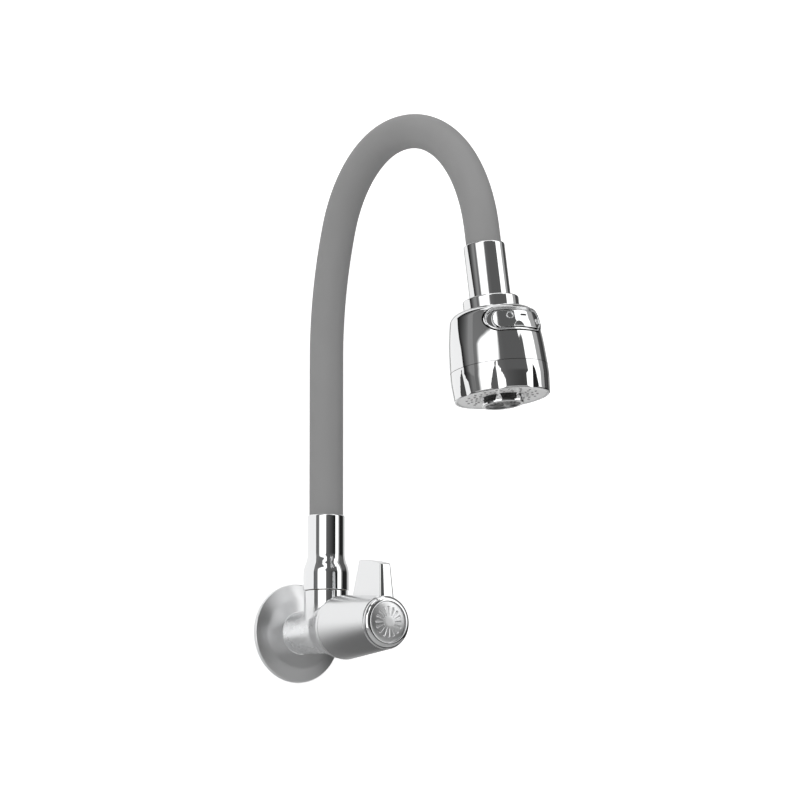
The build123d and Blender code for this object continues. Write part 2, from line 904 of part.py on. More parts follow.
def bezel():
    inner_skirt = shell_skirt_radius - shell_wall - crimp_gap
    top = seam_distance + seam_gap
    outer = turned(
        (bezel_bore_radius, top),
        (shell_skirt_radius, top),
        (bezel_bulge_radius, bezel_bulge_distance, bezel_bulge_round),
        (bezel_bottom_radius, bezel_bottom, bezel_bottom_round),
        (bezel_bore_radius, bezel_bottom),
    )
    skirt = ring(inner_skirt, inner_skirt - bezel_skirt_wall, top - bezel_skirt_depth, top)
    lip = ring(bezel_bore_radius, inner_skirt - bezel_skirt_wall, top, top + bezel_skirt_wall)
    shape = outer + skirt + lip
    cut = flute()
    flutes = [Rot(Z=flute_clock_angle + index * 360 / flute_count) * cut for index in range(flute_count)]
    return on_head(shape - flutes)


def flute():
    """V-shaped grip flute on the front, a pyramid with its point at the top."""
    base = bezel_bottom + overrun
    grow = (base - flute_top) / (bezel_bottom - flute_top)
    half = flute_width * grow / 2
    sill = bezel_bulge_radius
    depth = sill - bezel_bottom_radius + flute_depth * grow
    proud = sill + overrun
    notch = Polyline(
        (-half, sill, base),
        (0, sill - depth, base),
        (half, sill, base),
        (half, proud, base),
        (-half, proud, base),
        close=True,
    )
    point = Vertex(0, sill, flute_top)
    return loft([make_face(notch), point])


def nozzle_places():
    """Places of the nozzles: rings about the head's axis, each ring swept a little past the one inside it."""
    places = []
    for index in range(nozzle_ring_count):
        radius = nozzle_first_ring + nozzle_ring_pitch * index
        places.extend(PolarLocations(radius, nozzle_row_count, nozzle_sweep_angle * index))
    return places


def face_plate():
    top = bezel_bottom - face_recess - face_thickness
    bore = aerator_radius + loose_gap / 2
    plate = ring(bezel_bore_radius - running_gap, bore, top, bezel_bottom - face_recess)
    hole = rod(nozzle_radius + crimp_gap, top - overrun, bezel_bottom + overrun)
    return on_head(plate - [place * hole for place in nozzle_places()])


def nozzle():
    """Soft nozzle tip that stands through its hole in the face, with the jet's bore in it."""
    top = bezel_bottom - face_recess - face_thickness
    face = bezel_bottom - face_recess
    return turned(
        (nozzle_hole_radius, top - mat_thickness / 2),
        (nozzle_radius, top - mat_thickness / 2),
        (nozzle_radius, face),
        (nozzle_tip_radius, face + nozzle_rise),
        (nozzle_hole_radius, face + nozzle_rise),
    )


def nozzle_mat():
    top = bezel_bottom - face_recess - face_thickness
    bore = aerator_radius + loose_gap / 2
    mat = ring(bezel_bore_radius - running_gap, bore, top - mat_thickness, top)
    jet = rod(nozzle_hole_radius, top - mat_thickness - overrun, top + overrun)
    mat = mat - [place * jet for place in nozzle_places()]
    return on_head(mat + [place * nozzle() for place in nozzle_places()])


def distributor():
    neck = collar_bore_radius - crimp_gap
    tube = aerator_thread_radius + distributor_tube_wall
    outer = turned(
        (0, distributor_neck_top),
        (neck, distributor_neck_top),
        (neck, distributor_neck_end),
        (distributor_radius, distributor_neck_end + distributor_tube_wall),
        (distributor_radius, distributor_flare_start),
        (distributor_flange_radius, distributor_flare_end),
        (distributor_flange_radius, distributor_end),
        (0, distributor_end),
    )
    chamber = ring(
        distributor_flange_radius - distributor_tube_wall,
        tube,
        distributor_flare_end + distributor_tube_wall,
        distributor_end + overrun,
    )
    shape = outer - chamber
    shape = shape - rod(tail_radius + running_gap, distributor_neck_top - overrun, tail_end + loose_gap)
    shape = shape - rod(distributor_bore_radius, distributor_neck_top, distributor_end)
    shape = shape - rod(aerator_thread_radius + crimp_gap, aerator_top - loose_gap, distributor_end + overrun)
    channel_end = distributor_flare_end + distributor_tube_wall * 2
    channel = rod(distributor_bore_radius / 2, rocker_distance, channel_end)
    shape = shape - Pos(distributor_radius - distributor_bore_radius, 0, 0) * channel
    notch_low = rocker_distance - frame_height / 2
    notch_high = rocker_distance + frame_height / 2
    notch_floor = rocker_pivot - rocker_arm_reach - slide_depth / 2 - loose_gap
    notch = Pos(0, notch_floor, 0) * Box(
        rocker_notch_width,
        distributor_radius,
        notch_high - notch_low,
        align=(Align.CENTER, Align.MIN, Align.MIN),
    )
    shape = shape - Pos(0, 0, notch_low) * notch
    pin_low = rocker_pin_top
    pin_high = rocker_pin_top + rocker_pin_length
    return on_head(shape - Pos(0, rocker_pivot, 0) * rod(rocker_pin_radius + crimp_gap, pin_low, pin_high))


def aerator_housing():
    bore = aerator_radius - aerator_wall
    groove_low = bezel_bottom - face_recess + loose_gap
    return on_head(
        turned(
            (aerator_thread_radius - aerator_wall, aerator_top),
            (aerator_thread_radius, aerator_top),
            (aerator_thread_radius, aerator_shoulder - loose_gap),
            (aerator_radius, aerator_shoulder),
            (aerator_radius, groove_low),
            (aerator_groove_radius, groove_low),
            (aerator_groove_radius, groove_low + aerator_groove_width),
            (aerator_radius, groove_low + aerator_groove_width),
            (aerator_radius, aerator_bottom - knob_edge_round * 2),
            (aerator_lip_radius, aerator_bottom, knob_edge_round),
            (bore, aerator_bottom),
            (bore, aerator_shoulder + aerator_wall),
            (aerator_thread_radius - aerator_wall, aerator_shoulder),
        )
    )


def aerator_insert():
    radius = aerator_radius - aerator_wall - crimp_gap
    low = aerator_bottom - insert_recess
    top = low - insert_length + aerator_wall
    shape = rod(radius, top, low)
    pitch = radius / (insert_ring_count + 1)
    floor = low - insert_ring_depth
    for index in range(insert_ring_count):
        middle = pitch * (index + 1)
        groove = ring(middle + insert_ring_groove, middle - insert_ring_groove, floor, low + overrun)
        shape = shape - groove
    for index in range(insert_spoke_count):
        spoke = Pos(radius / 2, 0, low - insert_ring_depth) * Box(
            radius - loose_gap * 2,
            insert_spoke_width,
            insert_ring_depth,
            align=(Align.CENTER, Align.CENTER, Align.MIN),
        )
        shape = shape + Rot(Z=index * 360 / insert_spoke_count) * spoke
    return on_head(shape)


# Mode rocker, its pin and the slide that it moves
def rocker_tilted(shape):
    """Turns a piece about the rocker's pin to its rest position, left end pressed in."""
    hinge = Axis((0, rocker_pivot, 0), (0, 0, 1))
    return shape.rotate(hinge, rocker_turn_angle / 2)


def rocker_face_radius():
    """Radius of the rocker's face about the head's axis, level with its pin."""
    climb = (rocker_distance - shell_shoulder_distance) / (shell_cheek_distance - shell_shoulder_distance)
    return shell_shoulder_radius + (shell_cheek_radius - shell_shoulder_radius) * climb - rocker_sink


def thumb_scoop():
    """Ball that leaves the round dish at the rocker's left end."""
    reach = rocker_face_radius() + scoop_radius - scoop_depth
    ahead = (rocker_face_radius() ** 2 - scoop_distance**2) ** 0.5
    share = reach / rocker_face_radius()
    return Pos(-scoop_distance * share, ahead * share, rocker_distance) * Sphere(scoop_radius)


def rocker():
    width = frame_width - frame_band * 2 - rocker_gap * 2
    height = frame_height - frame_band * 2 - rocker_gap * 2
    plate = head_form(rocker_sink) - head_form(rocker_sink + rocker_plate)
    plate = plate & front_slot(width, height)
    reach = shell_cheek_radius + rocker_dish_radius - rocker_dish_depth
    dish = Pos(0, reach, rocker_distance) * Rot(Y=90) * Cylinder(rocker_dish_radius, frame_width)
    plate = plate - dish - thumb_scoop()
    low = rocker_distance - height / 2 + loose_gap
    high = rocker_distance + height / 2 - loose_gap
    hub = Pos(0, rocker_pivot, 0) * rod(rocker_hub_radius, low, high)
    web_depth = shell_cheek_radius - rocker_sink - rocker_plate - rocker_pivot
    web = Pos(0, rocker_pivot, low) * Box(
        rocker_hub_radius * 2, web_depth, high - low, align=(Align.CENTER, Align.MIN, Align.MIN)
    )
    arm = Pos(0, rocker_pivot, rocker_distance) * Box(
        rocker_arm_width, rocker_arm_reach, rocker_arm_width, align=(Align.CENTER, Align.MAX, Align.CENTER)
    )
    shape = plate + hub + web + arm
    pin_hole = rod(rocker_pin_radius + crimp_gap, low - overrun, high + overrun)
    return on_head(rocker_tilted(shape - Pos(0, rocker_pivot, 0) * pin_hole))


def rocker_pin():
    high = rocker_pin_top + rocker_pin_length
    return on_head(Pos(0, rocker_pivot, 0) * rod(rocker_pin_radius, rocker_pin_top, high))


def mode_slide():
    drift = rocker_arm_reach * sin(radians(rocker_turn_angle / 2))
    middle = rocker_pivot - rocker_arm_reach
    body = Pos(drift, middle, rocker_distance) * Box(slide_width, slide_depth, slide_height)
    slot = Pos(drift, middle + slide_depth / 2, rocker_distance) * Box(
        rocker_arm_width + loose_gap * 2,
        slide_depth + overrun,
        slide_height + overrun,
    )
    return on_head(body - slot)


def save(name, shape):
    pieces = shape if isinstance(shape, list) else [shape]
    solids = [solid for piece in pieces for solid in piece.solids()]
    whole = solids[0] if len(solids) == 1 else Compound(children=solids)
    whole.label = name
    export_step(whole, f"parts/{name}.step")
    return whole


def main():
    top = nipple_top()
    inside = head_ferrule_step
    nodes = {
        "faucet_body": faucet_body(),
        "snap_ring": snap_ring(),
        "wall_flange": wall_flange(),
        "flange_seal": flange_seal(),
        "inlet_strainer": inlet_strainer(),
        "seat_seal": seat_seal(),
        "bonnet": bonnet(),
        "fixed_disc": fixed_disc(),
        "moving_disc": moving_disc(),
        "spindle": spindle(),
        "spindle_seal": spindle_seal(),
        "circlip": circlip(),
        "handle_knob": handle_knob(),
        "handle_screw": handle_screw(),
        "rosette_cap": rosette_cap(),
        "swivel_nipple": swivel_nipple(),
        "swivel_seals": swivel_seals(),
        "lower_ferrule": lower_ferrule(),
        "neck_sleeve_lower": lower_stretch(sleeve_radius, sleeve_wall, ferrule_neck_height + loose_gap),
        "neck_conduit_lower": lower_stretch(conduit_radius, conduit_wall, top + crimp_gap),
        "water_tube_lower": lower_stretch(tube_radius, tube_wall, top + crimp_gap),
        "neck_sleeve_upper": upper_stretch(sleeve_radius, sleeve_wall, inside - loose_gap),
        "neck_conduit_upper": upper_stretch(conduit_radius, conduit_wall, inside),
        "water_tube_upper": upper_stretch(tube_radius, tube_wall, inside),
        "head_ferrule": head_ferrule(),
        "head_nipple": head_nipple(),
        "head_seal": head_seal(),
        "collar": collar(),
        "head_shell": head_shell(),
        "rocker_frame": rocker_frame(),
        "bezel": bezel(),
        "face_plate": face_plate(),
        "nozzle_mat": nozzle_mat(),
        "distributor": distributor(),
        "aerator_housing": aerator_housing(),
        "aerator_insert": aerator_insert(),
        "rocker": rocker(),
        "rocker_pin": rocker_pin(),
        "mode_slide": mode_slide(),
    }
    for name, shape in nodes.items():
        save(name, shape)


main()
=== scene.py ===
import bmesh
import bpy
import json
from math import asin, ceil, cos, degrees, hypot, pi, radians, sin, sqrt, tan
from mathutils import Matrix, Quaternion, Vector


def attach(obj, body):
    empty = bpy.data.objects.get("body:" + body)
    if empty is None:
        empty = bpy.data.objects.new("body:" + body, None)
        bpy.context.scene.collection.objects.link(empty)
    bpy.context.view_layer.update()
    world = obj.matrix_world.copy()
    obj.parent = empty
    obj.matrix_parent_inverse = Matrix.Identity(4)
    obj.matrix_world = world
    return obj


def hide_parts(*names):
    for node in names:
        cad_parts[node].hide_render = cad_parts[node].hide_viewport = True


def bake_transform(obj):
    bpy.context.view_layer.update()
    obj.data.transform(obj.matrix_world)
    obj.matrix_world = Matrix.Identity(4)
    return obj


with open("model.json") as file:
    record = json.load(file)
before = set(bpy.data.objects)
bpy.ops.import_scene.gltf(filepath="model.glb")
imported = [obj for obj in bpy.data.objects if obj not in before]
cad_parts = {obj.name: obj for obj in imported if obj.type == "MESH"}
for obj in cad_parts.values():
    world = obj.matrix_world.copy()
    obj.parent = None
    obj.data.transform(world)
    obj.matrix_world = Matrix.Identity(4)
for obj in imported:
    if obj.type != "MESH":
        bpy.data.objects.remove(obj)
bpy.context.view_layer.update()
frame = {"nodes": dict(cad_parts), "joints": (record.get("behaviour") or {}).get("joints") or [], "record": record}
nodes = frame["nodes"]
joints = {joint["name"]: joint for joint in frame["joints"]}
MM = 0.001
# Two places closer than this, in metres, count as one
FINE = 0.000002
# Sides of turned pieces
SIDES = 160
HEAD_SIDES = 240
# Riser in millimetres: its distance from the wall and the top of its straight stretch
RISER_DISTANCE = 35.0
RISER_TOP = 166.4
# Distances along the head in millimetres, from the top of its ferrule
CROWN_DISTANCE = 39.9
HEAD_SEAL_DISTANCE = 41.0
ROCKER_DISTANCE = 50.7
WAIST_DISTANCE = 55.0
SEAM_DISTANCE = 75.2
# Head's side in millimetres: its radius at the shoulder, the waist and the seam, and where its flare starts
SHOULDER_RADIUS = 24.6
WAIST_RADIUS = 27.4
SEAM_RADIUS = 28.6
FLARE_DISTANCE = 41.4
# Button in millimetres and degrees: its pin, how far it is pressed, its inset and its dish
PIN_REACH = 16.6
PRESSED_ANGLE = 4.0
BUTTON_INSET = 0.1
DISH_RADIUS, DISH_REACH = 60.0, 86.5
# Stage in metres
STAGE_HALF = 2.5
STAGE_BACK, STAGE_FRONT = 0.0004, -4
STAGE_FLOOR, STAGE_TOP = -0.7, 2.5


# Camera, as in the photograph
def make_camera():
    azimuth, elevation = radians(-32.62), radians(-8.02)
    target, distance = Vector((0, -0.090, 0.150)), 2.6
    back = Vector((sin(azimuth) * cos(elevation), -cos(azimuth) * cos(elevation), sin(elevation)))
    bpy.ops.object.camera_add(location=target + back * distance)
    camera = bpy.context.object
    camera.rotation_euler = (-back).to_track_quat("-Z", "Y").to_euler()
    camera.data.sensor_width = 36
    camera.data.lens = 193.9
    camera.data.shift_x = 0.0316
    camera.data.shift_y = -0.0308
    camera.data.clip_end = 30
    bpy.context.scene.camera = camera


# Finishes
class Value:
    """A number that varies over a surface. Python's operators on it add the Math nodes."""

    def __init__(self, finish, socket):
        self.finish = finish
        self.socket = socket

    def combined(self, operation, *others):
        return self.finish.node("ShaderNodeMath", {"operation": operation}, [self, *others])

    def __add__(self, other):
        return self.combined("ADD", other)

    __radd__ = __add__

    def __mul__(self, other):
        return self.combined("MULTIPLY", other)

    __rmul__ = __mul__

    def __sub__(self, other):
        return self.combined("SUBTRACT", other)

    def __rsub__(self, other):
        return self.finish.node("ShaderNodeMath", {"operation": "SUBTRACT"}, [other, self])

    def __truediv__(self, other):
        return self.combined("DIVIDE", other)


class Finish:
    """A material whose varying inputs are built by expressions."""

    def __init__(self, name, **constants):
        self.material = bpy.data.materials.new(name)
        self.material.use_nodes = True
        self.tree = self.material.node_tree
        self.shader = self.tree.nodes["Principled BSDF"]
        for key, value in constants.items():
            self.shader.inputs[key.replace("_", " ")].default_value = value

    def node(self, kind, settings=(), values=(), output=0):
        made = self.tree.nodes.new(kind)
        for key, value in dict(settings).items():
            if key == "stops":
                self.set_stops(made, value)
            else:
                setattr(made, key, value)
        pairs = values.items() if isinstance(values, dict) else enumerate(values)
        for key, value in pairs:
            self.feed(made.inputs[key], value)
        return Value(self, made.outputs[output])

    def set_stops(self, made, stops):
        ramp = made.color_ramp
        while len(ramp.elements) < len(stops):
            ramp.elements.new(1)
        for element, (place, shade) in zip(ramp.elements, stops):
            element.position = place
            element.color = (shade, shade, shade, 1) if isinstance(shade, (int, float)) else (*shade, 1)

    def feed(self, socket, value):
        if isinstance(value, Value):
            self.tree.links.new(value.socket, socket)
        else:
            socket.default_value = value

    def drive(self, name, value):
        self.feed(self.shader.inputs[name], value)
        return self

    def place(self):
        return self.node("ShaderNodeTexCoord", output="Object")

    def along(self, axis):
        """Coordinate of the surface along an axis, in metres."""
        return self.node("ShaderNodeSeparateXYZ", {}, [self.place()], axis)

    def speckle(self, scale, detail=2.0, rough=0.5):
        """Noise from 0 to 1, its scale in grains per metre."""
        values = {"Vector": self.place(), "Scale": scale, "Detail": detail, "Roughness": rough}
        return self.node("ShaderNodeTexNoise", {}, values)

    def smooth_step(self, value, low, high):
        settings = {"interpolation_type": "SMOOTHSTEP"}
        return self.node("ShaderNodeMapRange", settings, {"Value": value, "From Min": low, "From Max": high})

    def mix(self, factor, first, second):
        """Mix of two colours, which go into the Mix node's seventh and eighth sockets."""
        made = self.node("ShaderNodeMix", {"data_type": "RGBA"}, output=2)
        inputs = made.socket.node.inputs
        self.feed(inputs[0], factor)
        for socket, shade in ((inputs[6], first), (inputs[7], second)):
            self.feed(socket, shade if isinstance(shade, Value) else (*shade, 1))
        return made

    def mix_numbers(self, factor, first, second):
        """First number where the factor is nought, second where it is one."""
        return first + (second - first) * factor

    def grey(self, value):
        return self.node("ShaderNodeCombineColor", {}, [value, value, value])

    def bump(self, height, depth, strength=1.0):
        """Relief of a height that runs from 0 to 1, its depth in metres."""
        values = {"Height": height, "Distance": depth, "Strength": strength}
        return self.drive("Normal", self.node("ShaderNodeBump", {}, values))


def shaded(tint, share):
    return [channel * share for channel in tint]


def chromed(name, tint, second, roughness):
    """Chrome with a faint cloud in its tint, whose roughness is worked out with a faint haze."""
    finish = Finish(name, Metallic=1.0)
    haze = finish.speckle(60, 3)
    finish.drive("Base Color", finish.mix(finish.speckle(18), tint, second))
    finish.drive("Roughness", roughness(finish, haze))
    return finish.bump(finish.speckle(45, 1), 0.00001)


def plain_chrome(name, tint, rough):
    return chromed(name, tint, shaded(tint, 0.97), lambda finish, haze: rough * 0.8 + haze * rough * 0.5)


def body_chrome():
    """Polished on the stub, satin on the cast body."""
    def roughness(finish, haze):
        polished = finish.smooth_step(finish.along("Z"), 0.010, 0.018)
        return (1 - polished) * 0.24 + haze * 0.03 + 0.02
    return chromed("body chrome", (0.85, 0.855, 0.86), (0.82, 0.825, 0.83), roughness)


def knob_chrome():
    """Satin on the knob's side, polished on its front rim and its blade."""
    def roughness(finish, haze):
        rim = 1 - finish.smooth_step(finish.along("Y"), -0.1019, -0.1014)
        blade = finish.smooth_step(finish.along("Z"), 0.0185, 0.0205)
        return (1 - rim) * (1 - blade) * 0.2 + haze * 0.04 + 0.03
    return chromed("knob chrome", (0.84, 0.845, 0.85), (0.81, 0.815, 0.82), roughness)


def metal(name, tint, rough, scale):
    finish = Finish(name, Metallic=1.0)
    grain = finish.speckle(scale, 4)
    finish.drive("Base Color", finish.mix(grain, tint, shaded(tint, 0.85)))
    finish.drive("Roughness", rough + grain * 0.12)
    return finish.bump(grain, 0.00002)


def rubber(name, tint, rough, scale, depth):
    finish = Finish(name)
    grain = finish.speckle(scale, 3)
    finish.drive("Base Color", finish.mix(finish.speckle(30, 2), tint, shaded(tint, 0.88)))
    finish.drive("Roughness", rough + grain * 0.1)
    return finish.bump(grain, depth)


def moulded(name, tint, rough):
    finish = Finish(name)
    grain = finish.speckle(1500, 2)
    finish.drive("Base Color", finish.mix(finish.speckle(25), tint, shaded(tint, 0.94)))
    finish.drive("Roughness", rough + grain * 0.08)
    return finish.bump(grain, 0.00001)


def make_finishes():
    bright, pale = (0.86, 0.865, 0.87), (0.84, 0.845, 0.85)
    made = {
        "chrome": plain_chrome("polished chrome", bright, 0.035),
        "satin_chrome": plain_chrome("satin chrome", pale, 0.30),
        "body_chrome": body_chrome(),
        "knob_chrome": knob_chrome(),
        "rosette_chrome": plain_chrome("satin rosette chrome", pale, 0.30),
        "rocker_chrome": plain_chrome("rocker chrome", bright, 0.05),
        "brass": metal("machined brass", (0.72, 0.56, 0.30), 0.3, 900),
        "steel": metal("stainless steel", (0.60, 0.60, 0.61), 0.3, 1200),
        "ceramic": moulded("white ceramic", (0.88, 0.87, 0.84), 0.12),
        "seal_rubber": rubber("black seal rubber", (0.02, 0.02, 0.02), 0.45, 1200, 0.00001),
        "sleeve_silicone": rubber("grey sleeve rubber", (0.27, 0.27, 0.27), 0.62, 1600, 0.000015),
        "tube_rubber": rubber("inner tube rubber", (0.05, 0.05, 0.05), 0.5, 1200, 0.00001),
        "face_grey": moulded("pale spray face", (0.84, 0.84, 0.84), 0.38),
        "nozzle_rubber": rubber("nozzle rubber", (0.38, 0.38, 0.38), 0.5, 1200, 0.00001),
        "core_plastic": moulded("white core plastic", (0.72, 0.72, 0.70), 0.4),
        # Near-black finish: painted shade seen through the aerator's slots, and the colour of the button's bar
        # mark
        "slot_black": moulded("black marks and painted slot shade", (0.012, 0.012, 0.012), 0.4),
        "screen_dark": moulded("dark aerator screen", (0.19, 0.19, 0.19), 0.35),
    }
    return {slot: finish.material for slot, finish in made.items()}


# Studio: a white board behind the faucet, a wide soft panel in front at the left, a long card at the right
def make_studio():
    scene = bpy.context.scene
    scene.view_settings.view_transform = "Standard"
    world = bpy.data.worlds.new("studio")
    world.use_nodes = True
    scene.world = world
    tree = world.node_tree
    tree.nodes.clear()
    paths = tree.nodes.new("ShaderNodeLightPath")
    place = tree.nodes.new("ShaderNodeTexCoord")
    output = tree.nodes.new("ShaderNodeOutputWorld")

    def background(strength):
        """White light, its strength a plain number or another node's output."""
        made = tree.nodes.new("ShaderNodeBackground")
        made.inputs["Color"].default_value = (1, 1, 1, 1)
        if isinstance(strength, bpy.types.NodeSocket):
            tree.links.new(strength, made.inputs["Strength"])
        else:
            made.inputs["Strength"].default_value = strength
        return made.outputs[0]

    def mixed(factor, first, second):
        made = tree.nodes.new("ShaderNodeMixShader")
        tree.links.new(factor, made.inputs[0])
        tree.links.new(first, made.inputs[1])
        tree.links.new(second, made.inputs[2])
        return made.outputs[0]

    axes = tree.nodes.new("ShaderNodeSeparateXYZ")
    tree.links.new(place.outputs["Generated"], axes.inputs[0])

    def fall(axis, low, high, first, last):
        """Number that runs from a first to a last value along an axis."""
        made = tree.nodes.new("ShaderNodeMapRange")
        for key, value in (("From Min", low), ("From Max", high), ("To Min", first), ("To Max", last)):
            made.inputs[key].default_value = value
        tree.links.new(axes.outputs[axis], made.inputs["Value"])
        return made.outputs[0]

    lower = background(fall("X", -0.7, 0.3, 0.16, 0.018))
    upper = background(fall("X", -1.0, -0.3, 0.20, 0.11))
    mirrored = mixed(fall("Z", 0.18, 0.30, 0, 1), lower, upper)
    room = mixed(paths.outputs["Is Glossy Ray"], background(0.62), mirrored)
    shown = mixed(paths.outputs["Is Camera Ray"], room, background(1))
    tree.links.new(shown, output.inputs[0])


def softbox(name, centre, facing, width, height, radiance):
    """Lamp that lights the faucet. What mirrors show of it is its panel."""
    bpy.ops.object.light_add(type="AREA", location=centre)
    lamp = bpy.context.object
    lamp.name = name
    lamp.rotation_euler = Vector(facing).to_track_quat("-Z", "Z").to_euler()
    lamp.data.shape = "RECTANGLE"
    lamp.data.size = width
    lamp.data.size_y = height
    lamp.data.energy = radiance * pi * width * height
    lamp.visible_glossy = False


def stage_plane(name, corners, material):
    deselect()
    bpy.ops.mesh.primitive_plane_add(size=2)
    plane = bpy.context.object
    plane.name = name
    for vertex, corner in zip(plane.data.vertices, corners):
        vertex.co = corner
    plane.data.materials.append(material)
    return plane


def upright(first, last, bottom, top):
    """Corners of an upright plane that stands on a line from a first to a last place."""
    return [(*place, height) for height in (bottom, top) for place in (first, last)]


def veiled(finish, cover):
    """Clear where the cover is nought, and clear from behind, so that it hides nothing in other views."""
    clear = finish.tree.nodes.new("ShaderNodeBsdfTransparent")
    mixed = finish.tree.nodes.new("ShaderNodeMixShader")
    behind = finish.node("ShaderNodeNewGeometry", output="Backfacing")
    shown = (1 - behind) * cover
    finish.tree.links.new(shown.socket, mixed.inputs[0])
    finish.tree.links.new(clear.outputs[0], mixed.inputs[1])
    finish.tree.links.new(finish.shader.outputs[0], mixed.inputs[2])
    finish.tree.links.new(mixed.outputs[0], finish.tree.nodes["Material Output"].inputs[0])


def board_shade(finish, across, height):
    """Brightness of the board in mirrors: white behind the faucet, black beside it, then grey."""
    rise = finish.smooth_step(height, 0.19, 0.26)
    edge = across - rise * 0.2
    white = finish.smooth_step(edge, -0.345, -0.325)
    near = finish.node("ShaderNodeMapRange", {}, {"Value": edge, "From Min": -0.95, "From Max": -0.36})
    left = (rise * 0.08 + 0.19) * (1 - near) + near * 0.008
    right = finish.node("ShaderNodeValToRGB", {"stops": [
        (0.0, 1.0), (0.05, 0.88), (0.11, 0.66), (0.27, 0.42), (0.40, 0.2), (0.62, 0.03), (1.0, 0.07),
    ]}, {"Fac": across})
    low = finish.smooth_step(height, -0.075, 0.025) * 0.85 + 0.15
    return finish.mix_numbers(white, left, right * low)


def make_board():
    finish = Finish("white board", Roughness=0.8, Specular_IOR_Level=0.0, Emission_Strength=1.0)
    seen = finish.node("ShaderNodeLightPath", output="Is Camera Ray")
    mirrored = finish.node("ShaderNodeLightPath", output="Is Glossy Ray")
    shade = board_shade(finish, finish.along("X"), finish.along("Z"))
    finish.drive("Base Color", finish.mix(mirrored, (0.9, 0.9, 0.9), (0.0, 0.0, 0.0)))
    finish.drive("Emission Color", finish.grey(seen * 0.5 + mirrored * shade))
    veiled(finish, 1.0)
    corners = upright((-STAGE_HALF, STAGE_BACK), (STAGE_HALF, STAGE_BACK), STAGE_FLOOR, STAGE_TOP)
    stage_plane("board", corners, finish.material)


def make_floor():
    finish = Finish("pale floor", Roughness=0.8, Specular_IOR_Level=0.0)
    mirrored = finish.node("ShaderNodeLightPath", output="Is Glossy Ray")
    finish.drive("Base Color", finish.mix(mirrored, (0.85, 0.85, 0.85), (0.5, 0.5, 0.5)))
    veiled(finish, 1.0)
    corners = [(x, y, STAGE_FLOOR) for y in (STAGE_FRONT, STAGE_BACK) for x in (-STAGE_HALF, STAGE_HALF)]
    stage_plane("floor", corners, finish.material)


def panel(name, corners, radiance, cover):
    """Glowing panel that only mirrors see. Its cover is made from its coordinates."""
    finish = Finish(name, Roughness=1.0, Specular_IOR_Level=0.0, Emission_Strength=1.0)
    finish.shader.inputs["Base Color"].default_value = (0, 0, 0, 1)
    finish.shader.inputs["Emission Color"].default_value = (radiance, radiance, radiance, 1)
    veiled(finish, cover(finish, *(finish.along(axis) for axis in "XYZ")))
    plane = stage_plane(name, corners, finish.material)
    for ray in ("camera", "diffuse", "shadow", "transmission"):
        setattr(plane, "visible_" + ray, False)


def front_cover(finish, x, y, z):
    """White from a left edge to a right edge, which both lean to the right further up."""
    along = (y + 0.28) / -0.926
    lean = finish.smooth_step(z, 0.5, 0.85)
    left = along - lean * 0.7 + finish.smooth_step(z, 0.8, 1.2) * 0.32
    right = along + finish.smooth_step(z, 0.3, 0.6) * 0.13 - lean * 0.28
    return finish.smooth_step(left, -0.02, 0.22) * (1 - finish.smooth_step(right, 0.96, 1.16))


def card_cover(finish, x, y, z):
    """White far from the faucet, with a dim end near it, fading towards the floor."""
    high = finish.smooth_step(z, 0.45, 0.8)
    far = y + high * 0.5
    near = y + finish.smooth_step(z, 0.15, 0.4) * 0.045 - high * 0.1
    span = finish.smooth_step(far, -0.78, -0.74) * (1 - finish.smooth_step(near, -0.32, -0.30) * 0.78)
    return span * finish.smooth_step(z, -0.03, 0.07)


def light_studio():
    make_studio()
    make_board()
    make_floor()
    middle = Vector((0, -0.12, 0.15))
    toward = Vector((-0.767, -0.641, 0.25)).normalized()
    softbox("front softbox", middle + toward * 1.5, -toward, 1.12, 1.5, 1.5)
    softbox("top softbox", (0, -0.5, 1.5), (0, 0.25, -1), 1.4, 1.0, 1.0)
    panel("front panel", upright((-0.49, -2.04), (-1.32, -0.01), -0.4, 1.6), 1.6, front_cover)
    panel("right card", upright((0.29, -0.235), (0.482, -1.435), -0.3, 1.8), 1.5, card_cover)
    overhead = [(x, y, 1.5) for x in (-0.7, 0.7) for y in (-1.0, 0.0)]
    panel("top panel", overhead, 1.2, lambda finish, x, y, z: 1.0)


# Modelling steps that every piece uses, sizes in millimetres
def deselect():
    bpy.ops.object.select_all(action="DESELECT")


def only(piece):
    deselect()
    piece.select_set(True)
    bpy.context.view_layer.objects.active = piece


def added(name):
    """Names the shape that was just added and puts its place into its mesh."""
    piece = bpy.context.object
    piece.name = name
    bpy.ops.object.transform_apply(location=True, rotation=True, scale=True)
    return piece


def edit(piece):
    only(piece)
    bpy.ops.object.mode_set(mode="EDIT")


def leave_edit(outside=True):
    if outside:
        bpy.ops.mesh.select_all(action="SELECT")
        bpy.ops.mesh.normals_make_consistent(inside=False)
    bpy.ops.object.mode_set(mode="OBJECT")


def pick(piece, kind, test):
    """In edit mode, selects the parts of a piece that pass a test of their place."""
    bpy.ops.mesh.select_mode(type=kind)
    bpy.ops.mesh.select_all(action="DESELECT")
    shape = bmesh.from_edit_mesh(piece.data)
    parts = {"VERT": shape.verts, "EDGE": shape.edges, "FACE": shape.faces}[kind]
    for part in parts:
        if test(part):
            part.select_set(True)
    bmesh.update_edit_mesh(piece.data)


def on_ring(radius, height):
    """Test for edges that lie on the circle of a corner."""
    def test(edge):
        return all(
            abs(hypot(end.co.x, end.co.y) - radius * MM) < FINE and abs(end.co.z - height * MM) < FINE
            for end in edge.verts
        )
    return test


def turn_at(before, corner, after):
    """Angle by which an outline turns at a corner."""
    first = Vector((corner[0] - before[0], corner[1] - before[1]))
    second = Vector((after[0] - corner[0], after[1] - corner[1]))
    return first.angle(second)


